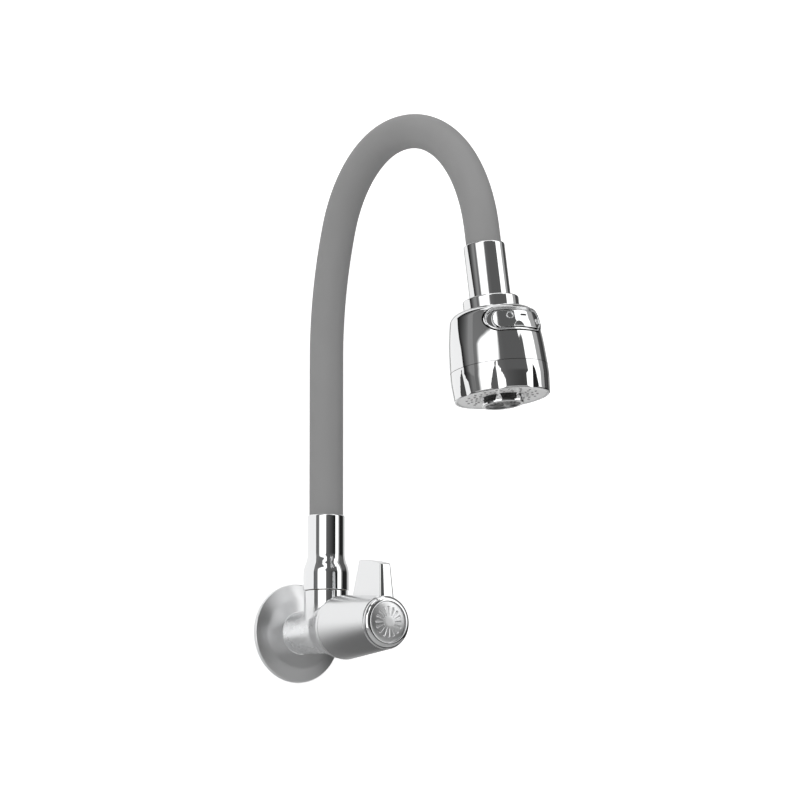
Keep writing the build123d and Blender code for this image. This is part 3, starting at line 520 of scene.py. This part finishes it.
def round_ring(piece, before, corner, after, step):
    turn = turn_at(before, corner, after)
    pick(piece, "EDGE", on_ring(corner[0], corner[1]))
    segments = max(3, ceil(degrees(turn) / step))
    bpy.ops.mesh.bevel(
        offset=corner[2] * MM * tan(turn / 2), segments=segments, affect="EDGES", offset_type="OFFSET"
    )


def turned(name, corners, sides=SIDES, step=6):
    """Piece turned about Z: a circle, extruded and resized from corner to corner, then rounded.

    A corner is (radius, height) or (radius, height, round). An outline that starts and ends on the
    axis is capped there, and any other is closed on itself.
    """
    rings = [corner for corner in corners if corner[0] > 0]
    capped = len(rings) < len(corners)
    radius, height = rings[0][0], rings[0][1]
    deselect()
    bpy.ops.mesh.primitive_circle_add(vertices=sides, radius=radius * MM, location=(0, 0, height * MM))
    piece = added(name)
    edit(piece)
    bpy.ops.mesh.select_mode(type="EDGE")
    bpy.ops.mesh.select_all(action="SELECT")
    for corner in rings[1:] + ([] if capped else rings[:1]):
        rise = (corner[1] - height) * MM
        bpy.ops.mesh.extrude_region_move(TRANSFORM_OT_translate={"value": (0, 0, rise)})
        grow = corner[0] / radius
        bpy.ops.transform.resize(value=(grow, grow, 1), center_override=(0, 0, corner[1] * MM))
        radius, height = corner[0], corner[1]
    if capped:
        bpy.ops.mesh.edge_face_add()
        pick(piece, "EDGE", on_ring(rings[0][0], rings[0][1]))
        bpy.ops.mesh.edge_face_add()
    else:
        bpy.ops.mesh.select_all(action="SELECT")
        bpy.ops.mesh.remove_doubles(threshold=FINE)
    around = corners if capped else [corners[-1], *corners, corners[0]]
    for before, corner, after in zip(around, around[1:], around[2:]):
        if len(corner) == 3:
            round_ring(piece, before, corner, after, step)
    leave_edit()
    return piece


def modified(piece, kind, **settings):
    """Adds a modifier with its settings and applies it."""
    only(piece)
    bpy.ops.object.modifier_add(type=kind)
    modifier = piece.modifiers[-1]
    for key, value in settings.items():
        setattr(modifier, key, value)
    bpy.ops.object.modifier_apply(modifier=modifier.name)
    return piece


def carved(piece, tool, operation="DIFFERENCE"):
    """Cuts, joins or crosses a piece with a tool, which is used up."""
    modified(piece, "BOOLEAN", object=tool, operation=operation, solver="EXACT")
    bpy.data.objects.remove(tool)
    return piece


def softened(piece, grain, passes):
    """Gives a small cast piece even faces and soft edges."""
    modified(piece, "REMESH", mode="VOXEL", voxel_size=grain * MM)
    return modified(piece, "SMOOTH", factor=0.5, iterations=passes)


def placed(piece, matrix):
    only(piece)
    piece.matrix_world = matrix
    bpy.ops.object.transform_apply(location=True, rotation=True, scale=True)
    return piece


def copied(piece, matrix):
    only(piece)
    bpy.ops.object.duplicate()
    return placed(bpy.context.object, matrix)


def joined(name, pieces):
    only(pieces[0])
    for piece in pieces:
        piece.select_set(True)
    bpy.ops.object.join()
    whole = bpy.context.object
    whole.name = name
    return whole


# Frames of the valve, the riser and the spray head
def valve_frame():
    """Z runs from the wall into the room, Y up."""
    return Matrix.Rotation(pi / 2, 4, "X")


def riser_frame():
    return Matrix.Translation((0, -RISER_DISTANCE * MM, 0))


def head_frame():
    """Z runs down the head from the top of its ferrule, Y towards the rocker."""
    down = Vector(joints["head_swivel"]["axis"]).normalized()
    top = Vector(joints["head_swivel"]["pos_m"]) - down * HEAD_SEAL_DISTANCE * MM
    side = (-down).cross(Vector((1, 0, 0))).cross(-down).normalized()
    front = side.cross(-down)
    turned_to = Matrix((side, front, down)).transposed().to_4x4()
    return Matrix.Translation(top) @ turned_to


def finished(piece, frame_matrix, finish, body, nodes=(), crease=30, even=True):
    """Puts a piece in its frame, smooths it, and gives it its finish and the body that it rides on.

    The nodes are those of the CAD model that the piece stands for.
    """
    placed(piece, frame_matrix)
    bpy.ops.object.shade_smooth_by_angle(angle=radians(crease))
    if even:
        modified(piece, "WEIGHTED_NORMAL", keep_sharp=True)
    piece.data.materials.clear()
    piece.data.materials.append(finish)
    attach(piece, body)
    if nodes:
        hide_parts(*nodes)


# Valve: flange, body with its stub and thread, knob with its blade, rosette cap
def wall_flange(finishes):
    corners = [
        (13.15, 5.6), (22.0, 4.3, 24.0), (30.3, 2.2, 0.9), (30.3, 0.0), (29.1, 0.0),
        (29.1, 1.6, 0.6), (22.0, 3.1, 20.0), (13.15, 4.4),
    ]
    piece = turned("wall_flange_cover", corners, step=2)
    finished(piece, valve_frame(), finishes["satin_chrome"], "valve", ["wall_flange"])


def valve_body(finishes):
    """Casting with the stub that carries the spout, and the threaded shank that goes into the wall."""
    corners = [
        (0, 1.5), (12.7, 1.5), (14.5, 38.0, 14.0), (18.9, 53.0, 1.4), (18.9, 55.2), (13.1, 55.2),
        (13.1, 45.0), (0, 45.0),
    ]
    piece = placed(turned("valve_casting", corners, step=3), valve_frame())
    stub = turned("stub", [(0, 4.0), (13.35, 4.0), (13.35, 23.5, 0.3), (9.2, 23.5), (9.2, 12.5), (0, 12.5)])
    carved(piece, placed(stub, riser_frame()), "UNION")
    finished(piece, Matrix.Identity(4), finishes["body_chrome"], "valve", ["faucet_body"])
    end, taper, back = -16.0, -14.8, 1.4
    shank = turned("inlet_shank", [(6.0, end), (9.28, end), (9.4, taper), (9.4, back), (6.0, back)])
    shank = joined("inlet_shank", [shank, shank_thread(end, taper, back)])
    finished(shank, valve_frame(), finishes["brass"], "valve", ["faucet_body"])


def shank_thread(end, taper, back):
    """Ridge of the pipe thread: a three-cornered wire, wound about Z, then trimmed to the shank."""
    pitch, root, crest, limit_radius = 1.814, 9.3, 10.46, 10.48
    start = end - 2.0
    deselect()
    bpy.ops.mesh.primitive_circle_add(vertices=3, radius=MM, location=(0, 0, 0))
    ridge = added("thread_ridge")
    places = [(root, start), (crest, start + pitch / 2), (root, start + pitch * 0.96)]
    for vertex, (reach, height) in zip(ridge.data.vertices, places):
        vertex.co = (reach * MM, 0, height * MM)
    edit(ridge)
    bpy.ops.mesh.select_all(action="SELECT")
    bpy.ops.mesh.edge_face_add()
    leave_edit(outside=False)
    winding = {"iterations": 12, "steps": 48, "render_steps": 48, "use_merge_vertices": False}
    modified(ridge, "SCREW", screw_offset=pitch * MM, **winding)
    edit(ridge)
    bpy.ops.mesh.select_all(action="SELECT")
    bpy.ops.mesh.fill_holes(sides=3)
    leave_edit()
    limit = [(0, end), (9.28, end), (limit_radius, taper), (limit_radius, back), (0, back)]
    return carved(ridge, turned("thread_limit", limit), "INTERSECT")


def lever_blade():
    """A block that is narrowed upward, crowned in front, rounded on its upright edges and at its tip."""
    foot, top = 9.0, 41.0
    rear_low, rear_high = 16.3, 39.1
    middle = 87.4
    width, width_lost = 9.9, 2.5
    length, length_lost = 33.2, 8.4
    lean, aside = 1.9, 0.75
    climb = (top - rear_low) / (rear_high - rear_low)
    sink = (foot - rear_low) / (rear_high - rear_low)
    wide_foot, wide_top = width - width_lost * sink, width - width_lost * climb
    long_foot, long_top = length - length_lost * sink, length - length_lost * climb
    deselect()
    bpy.ops.mesh.primitive_cube_add(size=MM, location=(0, (foot + top) / 2 * MM, middle * MM))
    bpy.context.object.scale = (wide_foot, top - foot, long_foot)
    blade = added("lever_blade")
    edit(blade)
    pick(blade, "FACE", lambda face: face.normal.y > 0.9)
    narrowed = (wide_top / wide_foot, 1, long_top / long_foot)
    bpy.ops.transform.resize(value=narrowed, center_override=(0, top * MM, middle * MM))
    for level, share in ((foot, sink), (top, climb)):
        pick(blade, "VERT", lambda vertex: abs(vertex.co.y - level * MM) < FINE)
        bpy.ops.transform.translate(value=(0, 0, lean * share * MM))
    crown_front(blade, ((foot, wide_foot), (top, wide_top)))
    pick(blade, "EDGE", lambda edge: on_corner(edge, wide_top / 2 - 0.1))
    bpy.ops.mesh.bevel(offset=0.8 * MM, segments=6, affect="EDGES", offset_type="OFFSET")
    bpy.ops.mesh.select_all(action="SELECT")
    bpy.ops.transform.translate(value=(aside * MM, 0, 0))
    leave_edit()
    carved(blade, tip_round(), "INTERSECT")
    edit(blade)
    pick(blade, "EDGE", is_rim)
    bpy.ops.mesh.bevel(offset=0.45 * MM, segments=4, affect="EDGES", offset_type="OFFSET")
    leave_edit()
    return blade


def crown_front(blade, ends):
    """Divides the blade into strips and bulges its front, given the width at its foot and its top."""
    strips, front = 8, 90.0
    bulge, skew, set_back = 0.42, 0.06, 1.5
    pick(blade, "EDGE", lambda edge: abs((edge.verts[0].co - edge.verts[1].co).x) > 3 * MM)
    bpy.ops.mesh.subdivide(number_cuts=strips - 1)
    half = strips // 2
    for level, wide in ends:
        for strip in range(-half, half + 1):
            place = Vector((wide * strip / strips, level)) * MM
            pick(blade, "VERT", lambda vertex: is_front(vertex, front, place))
            crown = bulge * (1 - (strip / half) ** 2) - skew * strip - set_back
            bpy.ops.transform.translate(value=(0, 0, crown * MM))


def is_front(vertex, front, place):
    """Corner of a strip that lies in front of a distance and at a place across and along the blade."""
    return vertex.co.z > front * MM and (vertex.co.xy - place).length < 20 * FINE


def tip_round():
    """Cylinder across the blade, whose side rounds the tip over its chord."""
    bulge = 0.9
    chord, chord_middle = Vector((24.8, -4.1)), Vector((89.3, 37.05))
    radius = (chord.length / 2) ** 2 / (2 * bulge) + bulge / 2
    normal = Vector((-chord.y, chord.x)).normalized()
    centre = chord_middle - normal * (radius - bulge)
    deselect()
    bpy.ops.mesh.primitive_cylinder_add(
        vertices=720, radius=radius * MM, depth=20 * MM, location=(0, centre.y * MM, centre.x * MM),
        rotation=(0, pi / 2, 0),
    )
    return added("tip_round")


def on_corner(edge, reach):
    """Upright edges at the blade's four corners."""
    upright = abs((edge.verts[0].co - edge.verts[1].co).y) > 20 * MM
    return upright and all(abs(end.co.x) > reach * MM for end in edge.verts)


def is_rim(edge):
    """Edges between the blade's crowned tip and its sides."""
    if len(edge.link_faces) != 2:
        return False
    first, second = [face.normal for face in edge.link_faces]
    return edge.verts[0].co.y > 30 * MM and (first.y > 0.8) != (second.y > 0.8) and first.angle(second) > 0.8


def handle_knob(finishes):
    corners = [
        (0, 71.0), (16.3, 71.0), (17.4, 56.0), (19.6, 56.0, 0.7), (16.3, 101.8, 0.4), (15.8, 101.8),
        (15.8, 105.2, 2.9), (12.65, 105.2), (12.65, 102.0), (10.3, 102.0), (10.3, 86.2),
        (5.0, 86.2), (5.0, 84.0), (0, 84.0),
    ]
    piece = turned("lever_knob", corners)
    carved(piece, lever_blade(), "UNION")
    finished(piece, valve_frame(), finishes["knob_chrome"], "handle", ["handle_knob"])


def dome_height(reach):
    """Height of the cap's dome at a distance from its axis."""
    rim, edge, rise = 12.0, 105.0, 1.3
    ball = (rim**2 + rise**2) / (2 * rise)
    return edge + rise - ball + sqrt(ball**2 - reach**2)


def petal_cutter():
    """Drop that widens outward: a cone along X whose wide end is extruded into a round."""
    inner, outer = 3.8, 8.7
    round_angles = (18, 36, 54, 72, 84)
    deselect()
    bpy.ops.mesh.primitive_cone_add(
        vertices=24, radius1=0.45 * MM, radius2=1.2 * MM, depth=(outer - inner) * MM,
        location=((inner + outer) / 2 * MM, 0, 0), rotation=(0, pi / 2, 0),
    )
    drop = added("petal")
    edit(drop)
    pick(drop, "FACE", lambda face: face.normal.x > 0.99)
    reach = 0.0
    for angle in round_angles:
        ahead = sin(radians(angle))
        slim = cos(radians(angle)) / cos(asin(reach))
        bpy.ops.mesh.extrude_region_move(TRANSFORM_OT_translate={"value": ((ahead - reach) * MM, 0, 0)})
        bpy.ops.transform.resize(value=(1, slim, slim), center_override=((outer + ahead) * MM, 0, 0))
        reach = ahead
    leave_edit()
    return drop


def rosette_cap(finishes):
    dome = [(float(reach), dome_height(reach)) for reach in range(11, 1, -1)]
    corners = [(0, 102.0), (12.5, 102.0), (12.5, 104.5, 0.2), (12.0, 105.0), *dome, (0, dome[-1][1])]
    cap = turned("rosette_cover", corners, sides=192)
    count, middle, above = 16, 6.75, 0.3
    drop = petal_cutter()
    lift = Matrix.Translation((0, 0, (dome_height(middle) + above) * MM))
    drops = [copied(drop, Matrix.Rotation(index * 2 * pi / count, 4, "Z") @ lift) for index in range(count)]
    bpy.data.objects.remove(drop)
    carved(cap, joined("petals", drops))
    finish = finishes["rosette_chrome"]
    finished(cap, valve_frame(), finish, "handle", ["rosette_cap"], crease=40)


# Neck: each layer is one tube along the route, bent smoothly between the spout and the neck's end
def neck_arcs():
    """Centre, axis, angle and radius of each arc of the route, then the direction at its end."""
    place = Vector((0, -RISER_DISTANCE, RISER_TOP)) * MM
    ahead = Vector((0, 0, 1))
    inward = Vector((0, -1, 0))
    arcs = []
    # Angle and radius of each arc, and how far the route turns sideways before it
    route = ((20.5, 228.0, 0), (61.8, 73.0, 0), (85.8, 87.6, 0), (5.4, 124.7, 32.0))
    for angle, radius, side_turn in route:
        inward = Quaternion(ahead, radians(side_turn)) @ inward
        axis = ahead.cross(inward)
        centre = place + inward * radius * MM
        arcs.append((centre, axis, radians(angle), radius * MM))
        turning = Quaternion(axis, radians(angle))
        place = centre + turning @ (place - centre)
        ahead = turning @ ahead
        inward = turning @ inward
    return arcs, ahead


def neck_layer(name, outer, wall, finish):
    """A circle, extruded up the riser, spun round each arc and extruded into the head's ferrule."""
    bottom, depth = 31.6, 22.4
    riser_steps, ferrule_steps, arc_step = 16, 4, 2.5
    arcs, ahead = neck_arcs()
    deselect()
    bpy.ops.mesh.primitive_circle_add(
        vertices=72, radius=outer * MM, location=(0, -RISER_DISTANCE * MM, bottom * MM)
    )
    tube = added(name)
    edit(tube)
    bpy.ops.mesh.select_mode(type="EDGE")
    bpy.ops.mesh.select_all(action="SELECT")
    rise = Vector((0, 0, (RISER_TOP - bottom) / riser_steps * MM))
    for index in range(riser_steps):
        bpy.ops.mesh.extrude_region_move(TRANSFORM_OT_translate={"value": rise})
    for centre, axis, angle, radius in arcs:
        steps = max(3, round(angle * radius / (arc_step * MM)))
        bpy.ops.mesh.spin(steps=steps, angle=-angle, center=centre, axis=axis)
    for index in range(ferrule_steps):
        bpy.ops.mesh.extrude_region_move(TRANSFORM_OT_translate={"value": ahead * depth / ferrule_steps * MM})
    bpy.ops.mesh.select_all(action="SELECT")
    bpy.ops.mesh.remove_doubles(threshold=FINE)
    leave_edit()
    modified(tube, "SOLIDIFY", thickness=wall * MM, offset=-1)
    only(tube)
    bpy.ops.object.shade_smooth_by_angle(angle=radians(35))
    tube.data.materials.append(finish)
    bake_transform(tube)
    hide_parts(name + "_lower", name + "_upper")


def neck(finishes):
    layers = (
        ("neck_sleeve", 10.3, 2.2, "sleeve_silicone"),
        ("neck_conduit", 7.8, 1.4, "steel"),
        ("water_tube", 6.1, 1.5, "tube_rubber"),
    )
    for name, outer, wall, slot in layers:
        neck_layer(name, outer, wall, finishes[slot])


def lower_ferrule(finishes):
    corners = [
        (12.85, 23.8), (14.0, 23.8, 0.25), (14.0, 36.9, 15.0), (11.4, 43.2, 15.0), (11.4, 70.0, 1.0),
        (10.38, 70.0), (10.38, 43.2), (12.85, 35.75),
    ]
    piece = turned("riser_ferrule", corners, step=3)
    finished(piece, riser_frame(), finishes["chrome"], "spout", ["lower_ferrule"])


# Spray head
def head_corners(inset):
    """Outline of the head from its crown to the seam, drawn in by an inset."""
    crown = CROWN_DISTANCE + inset
    crown_radius, crown_drop = 16.8, 1.489
    shoulder_round, waist_round = 6.0 - inset, 125.0 - 20.0 * abs(inset)
    return [
        (crown_radius, crown), (SHOULDER_RADIUS - inset, crown + crown_drop, shoulder_round),
        (WAIST_RADIUS - inset, WAIST_DISTANCE, waist_round), (SEAM_RADIUS - inset, SEAM_DISTANCE),
    ]


def rounded_bar(name, width, height):
    """Bar with round ends that runs from the head's axis out through its front at the rocker."""
    reach = 32.0
    deselect()
    bpy.ops.mesh.primitive_cylinder_add(
        vertices=96, radius=height / 2 * MM, depth=reach * MM,
        location=(0, reach / 2 * MM, ROCKER_DISTANCE * MM), rotation=(pi / 2, 0, 0),
    )
    bar = added(name)
    edit(bar)
    stretch = (width - height) / 2 * MM
    pick(bar, "VERT", lambda vertex: vertex.co.x > FINE)
    bpy.ops.transform.translate(value=(stretch, 0, 0))
    pick(bar, "VERT", lambda vertex: vertex.co.x < -FINE)
    bpy.ops.transform.translate(value=(-stretch, 0, 0))
    leave_edit()
    return bar


def head_ferrule(finishes):
    corners = [
        (10.38, 0), (12.1, 0, 1.0), (12.1, 34.7), (11.02, 34.7), (11.02, 23.0), (10.38, 23.0),
    ]
    piece = turned("head_ferrule_tube", corners, step=10)
    finished(piece, head_frame(), finishes["chrome"], "neck_end", ["head_ferrule"])


def collar(finishes):
    corners = [
        (12.4, 32.9), (16.45, 32.9, 0.9), (16.45, 39.82), (15.0, 39.82), (15.0, 43.8), (13.3, 43.8),
        (13.3, 35.2), (12.4, 35.2),
    ]
    piece = turned("collar_nut", corners)
    finished(piece, head_frame(), finishes["chrome"], "spray_head", ["collar"])


def head_shell(finishes):
    bore, wall = 15.15, 2.0
    outside, inside = head_corners(0), head_corners(wall)
    corners = [(bore, CROWN_DISTANCE), *outside, *reversed(inside), (bore, CROWN_DISTANCE + wall)]
    piece = turned("head_shell_bell", corners, sides=HEAD_SIDES, step=4)
    carved(piece, rounded_bar("slot", 40.04, 15.24))
    finished(piece, head_frame(), finishes["chrome"], "spray_head", ["head_shell"])


def head_solid(name, inset):
    """The head's outline, drawn in by an inset and filled."""
    corners = head_corners(inset)
    return turned(name, [(0, corners[0][1]), *corners, (0, corners[-1][1])], sides=HEAD_SIDES, step=4)


def rocker_frame(finishes):
    """Rim that stands out of the shell, with a shadow gap between it and the shell's slot."""
    piece = head_solid("rocker_rim", -0.9)
    carved(piece, rounded_bar("outside", 39.0, 14.2), "INTERSECT")
    carved(piece, rounded_bar("inside", 35.8, 11.0))
    carved(piece, head_solid("hollow", 2.0))
    ledge = carved(rounded_bar("ledge", 38.0, 13.2), head_solid("ledge_floor", 0.5))
    carved(piece, ledge)
    softened(piece, 0.16, 4)
    finish = finishes["chrome"]
    finished(piece, head_frame(), finish, "spray_head", ["rocker_frame"], crease=60, even=False)


def rocker(finishes):
    """Button with a dished face, a sunk left end and raised marks."""
    piece = head_solid("rocker_button", BUTTON_INSET)
    carved(piece, rounded_bar("outside", 35.0, 10.2), "INTERSECT")
    carved(piece, head_solid("underside", 2.7))
    carved(piece, dish())
    carved(piece, sunk_end())
    softened(piece, 0.17, 3)
    piece = joined("rocker_button", [piece, *rocker_marks()])
    placed(piece, pressed_in())
    finish = finishes["rocker_chrome"]
    finished(piece, head_frame(), finish, "rocker", ["rocker"], crease=60, even=False)


def pressed_in():
    """Turn of the button about its pin, with its left end pressed in."""
    hinge = Matrix.Translation((0, PIN_REACH * MM, 0))
    return hinge @ Matrix.Rotation(radians(PRESSED_ANGLE), 4, "Z") @ hinge.inverted()


def dish():
    """Wide cylinder across the head, whose side hollows the button's face."""
    deselect()
    bpy.ops.mesh.primitive_cylinder_add(
        vertices=512, radius=DISH_RADIUS * MM, depth=44 * MM,
        location=(0, DISH_REACH * MM, ROCKER_DISTANCE * MM), rotation=(0, pi / 2, 0),
    )
    return added("dish")


def sunk_end():
    """What is cut from the button's left end: a bar without its middle, its right part and what lies deep."""
    sunk = rounded_bar("sunk_end", 38.0, 14.0)
    carved(sunk, placed(rounded_bar("kept_middle", 34.0, 11.4), Matrix.Translation((2.5 * MM, 0, 0))))
    side, cut_edge = 60.0, -8.0
    beside = Vector((cut_edge + side / 2, 20.0, ROCKER_DISTANCE)) * MM
    carved(sunk, block("right_part", side, Matrix.Translation(beside)))
    corner, lean = Vector((-14.6, 20.6, ROCKER_DISTANCE)) * MM, radians(24)
    floor = Matrix.Translation(corner) @ Matrix.Rotation(lean, 4, "Z")
    return carved(sunk, block("deep_part", side, floor @ Matrix.Translation((0, -side / 2 * MM, 0))))


def block(name, side, matrix):
    deselect()
    bpy.ops.mesh.primitive_cube_add(size=side * MM, location=(0, 0, 0))
    return placed(added(name), matrix)


def rocker_marks():
    """Raised rings that mark the two modes, one by the sunk end and one at the far end."""
    marks = []
    wire = 0.32
    for turn, high, radius in ((-11.0, -1.9, 1.9), (34.5, 0.9, 1.5)):
        deselect()
        bpy.ops.mesh.primitive_torus_add(
            major_radius=radius * MM, minor_radius=wire * MM, major_segments=36, minor_segments=10,
            location=(0, 0, 0), rotation=(pi / 2, 0, 0),
        )
        marks.append(on_button(added("ring_mark"), turn, high))
    return marks


def bar_mark(finishes):
    """Dark bar let into the button's face, above its middle."""
    length, height, depth = 4.0, 0.6, 1.0
    deselect()
    bpy.ops.mesh.primitive_cube_add(size=MM, location=(0, 0, 0))
    bpy.context.object.scale = (length, height, depth)
    bar = added("rocker_bar_mark")
    edit(bar)
    bpy.ops.mesh.select_all(action="SELECT")
    bpy.ops.mesh.bevel(offset=0.25 * MM, segments=3, affect="EDGES")
    leave_edit()
    on_button(bar, 9.0, -2.2)
    placed(bar, pressed_in())
    finished(bar, head_frame(), finishes["slot_black"], "rocker", ["rocker"])


def on_button(mark, turn, high):
    """Sets a mark on the button's face, turned about the head's axis and moved up or down."""
    level = ROCKER_DISTANCE + high
    share = (level - FLARE_DISTANCE) / (WAIST_DISTANCE - FLARE_DISTANCE)
    flare = SHOULDER_RADIUS + (WAIST_RADIUS - SHOULDER_RADIUS) * share - BUTTON_INSET
    dished = DISH_REACH - sqrt(DISH_RADIUS**2 - high**2)
    spot = Matrix.Rotation(radians(-turn), 4, "Z")
    return placed(mark, spot @ Matrix.Translation((0, min(flare, dished) * MM, level * MM)))


def flute_cutter(angle):
    """Pyramid with its point up, that leaves a three-cornered grip flute."""
    deselect()
    bpy.ops.mesh.primitive_cone_add(vertices=3, radius1=MM, radius2=0, depth=MM, location=(0, 0, 0))
    cutter = bpy.context.object
    base, point, sill = 93.8, 77.6, 28.75
    half, floor, facet_angle = 16.0, 26.7, 9.0
    wing = floor + half * tan(radians(facet_angle))
    places = [(-half, wing, base), (0, floor, base), (half, wing, base)]
    corners = sorted(cutter.data.vertices, key=lambda vertex: vertex.co.z)
    for vertex, place in zip(corners[:3], places):
        vertex.co = Vector(place) * MM
    corners[3].co = Vector((0, sill, point)) * MM
    edit(cutter)
    leave_edit()
    return placed(cutter, Matrix.Rotation(radians(angle), 4, "Z"))


def bezel(finishes):
    flutes, first_angle = 8, -6.8
    corners = [(26.4, 75.45), (28.6, 75.45), (28.75, 80.5, 40.0), (28.0, 91.8, 1.0), (26.4, 91.8)]
    piece = turned("fluted_bezel", corners, sides=HEAD_SIDES)
    for index in range(flutes):
        carved(piece, flute_cutter(first_angle + index * 360 / flutes))
    finished(piece, head_frame(), finishes["chrome"], "spray_head", ["bezel"], crease=20)


def aerator(finishes):
    """Ring with six air slots, and a near-black band behind them that paints the shade inside the slots."""
    slots, first_angle = 6, 44.6
    corners = [
        (8.7, 78.0), (10.9, 78.0), (10.9, 85.7), (12.4, 86.0), (12.4, 91.5), (11.8, 91.5, 0.1),
        (11.8, 92.8, 0.1), (12.4, 92.8, 0.2), (12.4, 94.7, 0.3), (12.1, 96.1, 0.5), (10.2, 96.1, 0.2),
        (10.2, 88.2), (8.7, 86.0),
    ]
    piece = turned("aerator_ring", corners)
    openings = turned("air_slots", [(11.0, 91.4), (13.4, 91.4), (13.4, 95.1), (11.0, 95.1)])
    for index in range(slots):
        carved(openings, slot_post(first_angle + index * 360 / slots))
    carved(piece, openings)
    finished(piece, head_frame(), finishes["chrome"], "spray_head", ["aerator_housing"])
    # Near-black band seen through the slots: painted shade in them
    band = turned("aerator_slot_shade_band", [
        (10.7, 91.2), (11.15, 91.2), (11.15, 92.7), (11.5, 93.0), (11.5, 93.3), (11.15, 93.6),
        (11.15, 95.2), (10.7, 95.2),
    ])
    finished(band, head_frame(), finishes["slot_black"], "spray_head", ["aerator_housing"])


def slot_post(angle):
    """Post between two air slots, wider towards the lip."""
    width, depth, height, widening = 1.6, 4.0, 4.0, 2.8
    deselect()
    bpy.ops.mesh.primitive_cube_add(size=MM, location=(0, 12.2 * MM, 93.25 * MM))
    bpy.context.object.scale = (width, depth, height)
    post = added("slot_post")
    edit(post)
    pick(post, "FACE", lambda face: face.normal.z > 0.9)
    bpy.ops.transform.resize(value=(widening, 1, 1))
    leave_edit()
    return placed(post, Matrix.Rotation(radians(angle), 4, "Z"))


def make_pieces(finishes):
    wall_flange(finishes)
    valve_body(finishes)
    handle_knob(finishes)
    rosette_cap(finishes)
    lower_ferrule(finishes)
    neck(finishes)
    head_ferrule(finishes)
    collar(finishes)
    head_shell(finishes)
    rocker_frame(finishes)
    rocker(finishes)
    bar_mark(finishes)
    bezel(finishes)
    aerator(finishes)


def dress_nodes(finishes):
    """Gives each node of the CAD model the finish of its material slot."""
    slots = {row["node"]: row["material_slot"] for row in frame["record"]["subparts"]}
    for name, node in nodes.items():
        node.data.materials.clear()
        node.data.materials.append(finishes[slots[name]])


def main():
    make_camera()
    finishes = make_finishes()
    dress_nodes(finishes)
    make_pieces(finishes)
    light_studio()


main()
